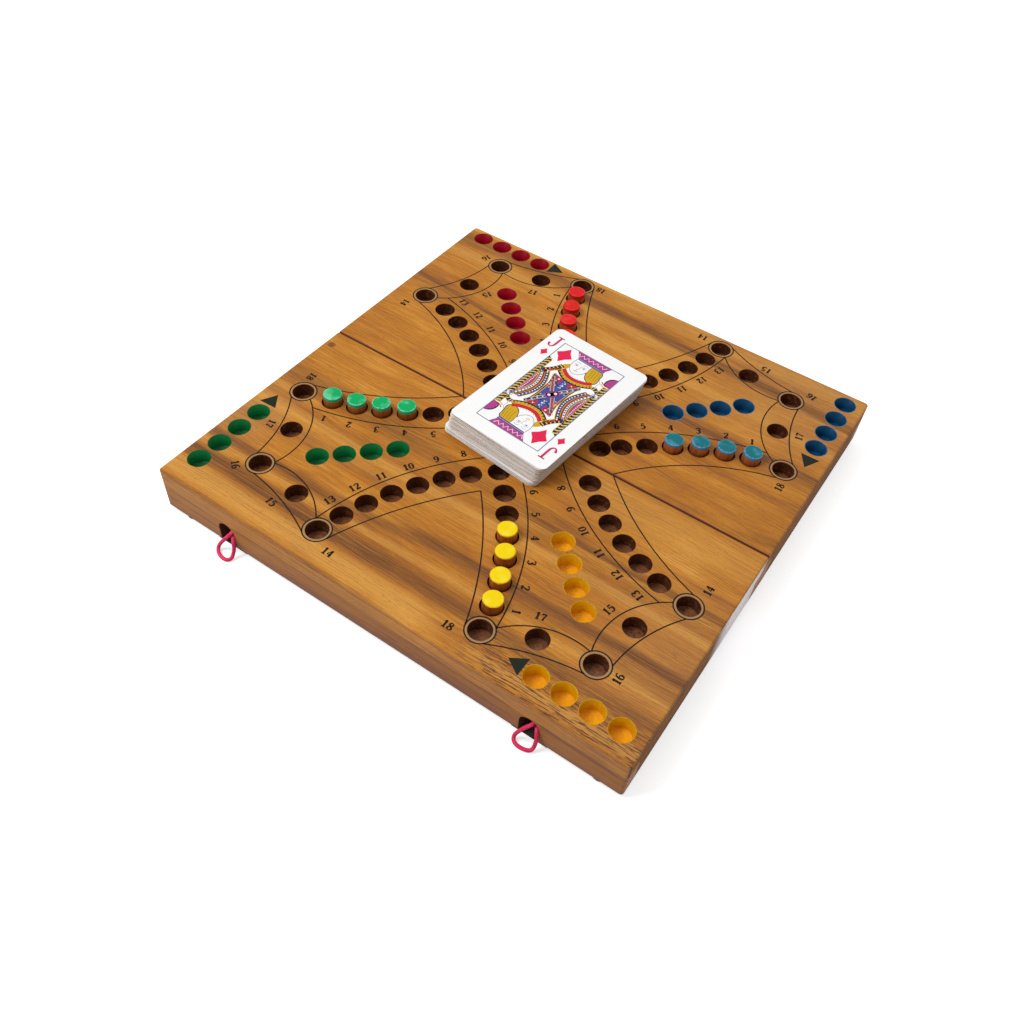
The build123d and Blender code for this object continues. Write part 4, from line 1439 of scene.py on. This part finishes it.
def draw_hat(art):
    """Hat, with a zigzag and a band."""
    art.field("plum", 1, [(-9.9, 35.4), (11.4, 35.4), (9.3, 30.9), (-6.6, 31.1)])
    zigzag = [(-8.3 + 1.45 * step, 34.4 - 2.2 * (step % 2)) for step in range(13)]
    art.line("white", 2, 0.45, zigzag, curved=False)
    art.field("blue", 2, [(-6.9, 31.5), (9.9, 31.2), (9.4, 29.4), (-6.4, 30.0)])
    art.line("straw", 3, 0.25, [(-6.5, 30.8), (9.4, 30.4)])


def draw_hair(art):
    """Hair, in curls on both sides of the face."""
    outline = [(3.0, 29.6), (9.6, 29.4), (10.7, 25.5), (11.3, 21.0), (8.8, 18.7), (5.0, 20.3), (2.8, 24.5)]
    art.line("black", 0, 0.5, outline)
    curls = [(3.0, 29.6), (9.3, 29.4), (10.4, 25.5), (11.0, 21.0), (8.8, 19.0), (5.0, 20.6), (3.1, 24.5)]
    art.field("gold", 1, curls, True)
    for step in range(4):
        curl_x = 4.6 + 1.5 * step
        art.line("black", 2, 0.14, [(curl_x, 28.9), (curl_x + 0.7, 25.4), (curl_x + 0.9, 21.9)])
    far_curls = [(-6.9, 24.2), (-6.0, 21.2), (-7.2, 19.4), (-9.0, 19.8), (-9.6, 21.4), (-8.4, 23.2)]
    art.field("gold", 1, far_curls, True)


def draw_face(art):
    """Face: calm, with level eyes, a straight nose and a small mouth."""
    outline = [(-6.5, 29.9), (-6.9, 25.6), (-5.6, 21.6), (-2.4, 19.3), (0.9, 20.7), (2.8, 24.2), (3.0, 29.4)]
    art.line("grey", 3, 0.30, outline)
    for eye_x in eye_places:
        art.line("grey", 3, 0.20, [(eye_x - 1.3, 26.3), (eye_x, 26.9), (eye_x + 1.3, 26.3)])
        art.line("grey", 3, 0.16, [(eye_x - 1.1, 25.8), (eye_x, 25.4), (eye_x + 1.1, 25.8)])
        art.line("grey", 3, 0.20, [(eye_x - 1.5, 28.0), (eye_x, 28.6), (eye_x + 1.5, 28.0)])
        art.dots("blue", 4, 0.38, (eye_x, 26.0))
    art.line("grey", 3, 0.18, [(-1.6, 26.6), (-1.5, 24.4), (-2.4, 23.4), (-1.6, 23.1)])
    art.line("suit", 3, 0.30, [(-3.2, 21.9), (-2.1, 22.1), (-1.0, 21.9)])
    art.line("grey", 3, 0.14, [(-2.7, 21.2), (-1.6, 21.2)])


def draw_collar(art):
    """Collar: a red band with golden scallops."""
    art.line("scarlet", 3, 2.3, [(-7.3, 19.2), (-3.2, 16.4), (1.6, 15.8), (6.6, 17.2), (10.2, 19.4)])
    art.line("black", 2, 3.0, [(-8.4, 17.4), (-3.6, 14.2), (1.4, 13.6), (6.8, 14.9), (11.2, 17.6)])
    scallops = flowing([(-8.2, 17.5), (-3.5, 14.4), (1.4, 13.8), (6.7, 15.0), (11.0, 17.5)], 3)
    art.dots("gold", 3, 0.95, *scallops)
    art.line("straw", 4, 0.2, [(-7.9, 18.2), (-3.4, 15.2), (1.5, 14.6), (6.7, 15.9), (10.7, 18.3)])
    beads = [(-5.0 + 1.5 * step, 18.3 - 0.9 * math.sin(0.45 * step)) for step in range(8)]
    art.dots("grey", 4, 0.22, *beads)


def draw_shoulders(art):
    """Striped shoulders, edged with red and gold."""
    for start, end, bow, count, half_band in shoulder_bands:
        places = bowed(start, end, bow, count)
        art.line("black", 2, half_band * 2 + 0.4, places, curved=False)
        for first, second in zip(places[1::2], places[2::2]):
            ahead = (second - first).normalized() * half_band
            across = Vector((-ahead.y, ahead.x))
            art.line("straw", 3, 0.62, [first - across, first + across])
    art.line("scarlet", 3, 0.8, [(-8.4, 18.6), (-11.4, 15.4), (-13.6, 11.2)])
    art.line("gold", 3, 0.6, [(-7.9, 17.4), (-10.8, 14.4), (-12.8, 10.6)])


def draw_ropes(art):
    """Twisted cords down both edges."""
    outer = rope_x - 1.4
    inner = rope_x + 1.5
    art.field("black", 1, [(outer, 22.5), (inner, 20.5), (inner, -22.0), (outer, -22.0)])
    for step in range(19):
        level = 20.2 - 2.3 * step
        twist = [(rope_x - 1.3, level - 0.8), (rope_x, level + 0.5), (rope_x + 1.4, level + 0.9)]
        art.line("straw", 2, 0.85, twist)
    art.line("gold", 3, 0.35, [(rope_x + 1.7, 20.2), (rope_x + 1.7, -21.4)])


def sleeve_arc(middle_x):
    """An upright line that bows towards the coat."""
    near_x = middle_x - sleeve_bow * 0.28
    far_x = middle_x - sleeve_bow
    half = sleeve_reach / 2
    return [(far_x, sleeve_reach), (near_x, half), (middle_x, 0), (near_x, -half), (far_x, -sleeve_reach)]


def draw_sleeve(art):
    """Sleeve: a plum leaf, then upright bands, two of them with beads."""
    leaf = [(-15.8, 10.2), (-13.8, 5.4), (-13.0, 0.0), (-13.8, -5.4), (-15.8, -10.6), (-15.9, 0.0)]
    art.field("plum", 1, leaf, True)
    art.line("black", 2, 0.3, leaf + leaf[:1])
    leaf_beads = [(-14.6 - 0.012 * (step - 6) ** 2, 7.4 - 1.25 * step) for step in range(13)]
    art.dots("white", 3, 0.34, *leaf_beads)
    for middle_x, width, ink_name in sleeve_bands:
        art.line(ink_name, 2 if width > 1 else 3, width, sleeve_arc(middle_x))
    for middle_x, ink_name, radius in ((-11.2, "blue", 0.50), (-8.1, "white", 0.42)):
        art.dots(ink_name, 4, radius, *flowing(sleeve_arc(middle_x), 4))


def draw_coat(art):
    """Coat: blue, with red corners, white spots and two crossing straps."""
    art.line("black", 6, 0.35, [(-8.6, 13.6), (-6.8, 6.0), (-6.4, 0.0)])
    art.line("black", 6, 0.35, [(7.8, 13.2), (6.6, 6.0), (6.4, 0.0)])
    cloth = [
        (-8.6, 13.6), (-2.5, 12.3), (1.0, 12.0), (7.8, 13.2), (6.6, 6.0), (6.4, 0.0), (-6.4, 0.0),
        (-6.8, 6.0),
    ]
    art.field("blue", 1, cloth)
    art.field("scarlet", 2, [(-7.6, 13.0), (-2.4, 12.2), (-3.0, 8.2)])
    art.field("scarlet", 2, [(1.4, 11.9), (6.9, 12.8), (2.6, 8.0)])
    art.field("scarlet", 2, [(-6.8, 8.6), (-4.6, 5.0), (-6.4, 1.2)])
    art.field("black", 2, [(5.2, 8.4), (6.5, 3.4), (3.6, 5.6)])
    art.dots("white", 3, 0.55, (-4.4, 11.2), (3.4, 11.0), (-5.9, 5.1), (0.0, 10.4), (0.0, 8.2))
    art.dots("straw", 3, 0.42, (0.0, 6.2), (4.9, 6.0), (-3.2, 6.3))
    art.dots("white", 3, 0.28, *[(-0.9 + 0.6 * (step % 2), 11.4 - 0.9 * step) for step in range(7)])
    art.line("straw", 4, 0.35, [(-8.2, 13.2), (-0.9, 2.2)])
    art.line("scarlet", 4, 0.5, [(-8.7, 12.6), (-1.6, 1.7)])
    art.line("straw", 4, 0.35, [(-9.2, 12.0), (-2.3, 1.2)])
    art.line("straw", 5, 0.35, [(7.3, 13.0), (0.2, 2.4)])
    art.line("blue", 4, 1.5, [(8.0, 12.6), (0.0, 0.2)])
    art.dots("white", 5, 0.40, *[(7.4 - 1.6 * step, 11.7 - 2.45 * step) for step in range(5)])
    art.line("straw", 5, 0.35, [(8.7, 12.2), (1.6, 1.4)])
    art.line("gold", 4, 0.45, [(-8.0, 13.9), (-6.1, 6.2), (-5.7, 0.0)])
    art.line("gold", 4, 0.45, [(7.2, 13.4), (6.0, 6.2), (5.7, 0.0)])
    for step in range(4):
        art.dots("straw", 4, 0.40, (-4.9 + 0.1 * step, 9.4 - 2.1 * step))
        art.dots("straw", 4, 0.40, (4.9 - 0.1 * step, 9.8 - 2.1 * step))
    art.line("black", 3, 0.30, [(-3.4, 11.9), (-3.9, 8.4), (-1.2, 6.6)])
    art.line("black", 3, 0.30, [(3.0, 11.8), (3.6, 8.2), (1.0, 6.4)])


def draw_lozenge(art):
    """The lozenge in the middle, drawn as one half and its turned half."""
    art.field("blue", 5, [(-2.9, -1.6), (0.9, 3.5), (3.1, 1.9), (-0.7, -3.2)])
    art.line("scarlet", 6, 0.35, [(-3.0, -1.7), (0.9, 3.6), (3.2, 1.9)], curved=False)
    art.dots("white", 6, 0.85, (1.05, 1.35))


def draw_hand(art):
    """A leaf held up beside the head, the line of the hand, and a round clasp below them."""
    art.line("black", 0, 0.8, [(18.6, 30.6), (16.0, 29.2), (14.6, 26.4), (15.2, 23.6), (18.6, 22.8)])
    art.field("plum", 1, [(18.7, 30.2), (16.3, 28.9), (15.0, 26.4), (15.6, 23.9), (18.7, 23.4)], True)
    art.line("scarlet", 2, 0.55, [(12.8, 24.4), (15.6, 22.9), (18.6, 23.1)])
    art.line("gold", 2, 0.45, [(13.2, 22.8), (15.8, 21.6), (18.6, 21.8)])
    art.line("grey", 2, 0.2, [(11.4, 24.2), (12.8, 22.2), (12.4, 19.8), (14.2, 18.3)])
    clasp = (16.4, 13.2)
    art.dots("white", 3, 1.9, clasp)
    for turned in both_ways([clasp]):
        art.circle("grey", turned[0], 1.7, 0.25, 4, 20)
    art.dots("grey", 4, 0.55, clasp)


def suit_outline(centre, half_wide, half_tall):
    """A diamond with slightly hollow sides."""
    x, y = centre
    tips = [(x + half_wide, y), (x, y + half_tall), (x - half_wide, y), (x, y - half_tall)]
    outline = []
    for index, tip in enumerate(tips):
        after = tips[(index + 1) % 4]
        outline.append(tip)
        outline.append((x + (tip[0] + after[0] - 2 * x) * 0.44, y + (tip[1] + after[1] - 2 * y) * 0.44))
    return outline


def draw_suit_marks(art):
    """The large diamond beside the head and the small one in the corner."""
    art.field("suit", 6, suit_outline((-13.4, 27.6), 4.7, 6.1))
    art.field("suit", 6, suit_outline((-23.2, 22.9), 2.2, 3.0))


def draw_court(art):
    """A two-headed knave in the traditional manner, of a plain design of its own."""
    for draw_part in (
        draw_frame, draw_hat, draw_hair, draw_face, draw_collar, draw_shoulders, draw_ropes, draw_sleeve,
        draw_coat, draw_lozenge, draw_hand, draw_suit_marks,
    ):
        draw_part(art)


# Index letter of the knave, on a height of 1
knave_strokes = (
    ((0.28, 0.965, 0.075), (0.92, 0.965, 0.075)),
    ((0.62, 0.97, 0.13), (0.62, 0.45, 0.13), (0.60, 0.20, 0.12), (0.46, 0.05, 0.09), (0.26, 0.04, 0.09),
     (0.10, 0.16, 0.12), (0.09, 0.28, 0.15)),
)
index_height = 9.6
index_width = index_height * 0.62
index_place = (-26.0, 28.3)


def draw_index(art):
    """The J in two corners."""
    for stroke in knave_strokes:
        line = drawn_line(stroke)
        places = [(index_place[0] + p.x * index_width, index_place[1] + p.y * index_height) for p in line]
        for turned in both_ways(places):
            art.stroke("index", turned, [p.z * index_height for p in line], 2)


def cut_card():
    """The top card, cut with round corners; its print lies just above it."""
    shape = bmesh.new()
    bmesh.ops.create_grid(shape, x_segments=1, y_segments=1, size=0.5)
    bmesh.ops.scale(shape, vec=(card_width, card_length, 1), verts=shape.verts)
    bmesh.ops.bevel(
        shape, geom=list(shape.verts), offset=card_corner, segments=8, profile=0.5, affect="VERTICES",
        material=-1,
    )
    raised = bmesh.ops.extrude_face_region(shape, geom=list(shape.faces))
    top = made_parts(raised, bmesh.types.BMVert)
    bmesh.ops.translate(shape, vec=(0, 0, card_face_z - card_under_z), verts=top)
    bmesh.ops.translate(shape, vec=(0, 0, card_under_z), verts=shape.verts)
    bmesh.ops.recalc_face_normals(shape, faces=shape.faces)
    bmesh.ops.transform(shape, matrix=lay_on_pack, verts=shape.verts)
    finish_piece(shape, "top_card_cut", "top_card", [white_card], replaces=("top_card",))


def print_card():
    """The court figure and its index, printed on the top card."""
    art = CourtPrinting(card_inks, card_face_z, card_lift)
    draw_court(art)
    draw_index(art)
    art.finish("top_card_print", "top_card", "card", lay_on_pack)


cut_card()
print_card()


# Floor, background and light. The floor's half size and drop are in metres; it turns white between two
# distances from the middle, in millimetres
floor_half_size = 6.0
floor_drop = 0.0002
floor_white_from = 300
floor_white_to = 900

# Painted shade: a dark floor under the board, so that no white shows through the notches and the seam
notch_floor_half_width = 9
notch_floor_middle = 17
notch_floor_half_depth = 15.5
board_floor_half_width = 108
board_floor_middle = 63
board_floor_half_depth = 45

# Light of the sky on the board, and how bright it looks
sky_light = 0.32
sky_look = 1.0
lamps = (
    ("key_light", (-0.55, -0.55, 1.15), 10.5, 0.5),
    ("top_light", (0.10, 0.35, 1.30), 4.2, 0.8),
)


def seen_or_mirrored(finish):
    """1 for what the camera sees straight on or in a shiny surface, and 0 for what only lights the board."""
    seen = finish.node("ShaderNodeLightPath", output="Is Camera Ray")
    mirrored = finish.node("ShaderNodeLightPath", output="Is Glossy Ray")
    return seen.most(mirrored)


def dark_floor(x, y):
    """1 under the notches and under the front half, where the floor is painted dark as shade."""
    behind_notch = 0.0
    for middle in notch_x:
        behind_notch = abs(x - middle).below(notch_floor_half_width).most(behind_notch)
    behind_notch = behind_notch * abs(y + free_y - notch_floor_middle).below(notch_floor_half_depth)
    under_half = abs(x).below(board_floor_half_width)
    under_half = under_half * abs(y + board_floor_middle).below(board_floor_half_depth)
    return behind_notch.most(under_half)


def add_floor():
    """A white floor that keeps the board's shadow, with painted shade under the board, and isn't there from
    below.
    """
    finish = Finish("studio_floor")
    share = seen_or_mirrored(finish)
    x, y, _ = finish.axes(finish.place())
    dark = dark_floor(x, y)
    # Painted shade: under the board the floor is dark and gets no glow
    paper = finish.mix(dark, (0.80, 0.80, 0.80), (0.05, 0.04, 0.035))
    far = (x * x + y * y).rise(floor_white_from**2, floor_white_to**2)
    glow = finish.mix(far, (1, 1, 1), (1.7, 1.7, 1.7))
    from_below = finish.node("ShaderNodeNewGeometry", output="Backfacing")
    finish.surface(
        Base_Color=finish.mix(share, (0.30, 0.30, 0.30), paper),
        Roughness=1.0,
        Emission_Color=finish.mix(share * (1 - dark), (0, 0, 0), glow),
        Emission_Strength=0.60,
        Alpha=1 - from_below,
    )
    sheet = bmesh.new()
    bmesh.ops.create_grid(sheet, x_segments=1, y_segments=1, size=floor_half_size)
    bmesh.ops.translate(sheet, vec=(0, 0, -floor_drop), verts=sheet.verts)
    mesh = bpy.data.meshes.new("studio_floor")
    sheet.to_mesh(mesh)
    sheet.free()
    mesh.materials.append(finish.material)
    floor = bpy.data.objects.new("studio_floor", mesh)
    scene.collection.objects.link(floor)


def add_sky():
    """A white background that lights the board softly."""
    sky = Finish("studio", bpy.data.worlds, "Background")
    sky.surface(Color=(1, 1, 1), Strength=sky_light + seen_or_mirrored(sky) * (sky_look - sky_light))
    scene.world = sky.material


def add_lamp(name, place, power, size):
    """A soft square lamp that shines at the middle of the board. Place and size are in metres."""
    lamp = bpy.data.lights.new(name, "AREA")
    lamp.energy = power
    lamp.size = size
    light = bpy.data.objects.new(name, lamp)
    light.location = place
    light.rotation_euler = (-Vector(place)).to_track_quat("-Z", "Y").to_euler()
    scene.collection.objects.link(light)


add_floor()
add_sky()
for lamp_values in lamps:
    add_lamp(*lamp_values)
scene.view_settings.view_transform = "Standard"
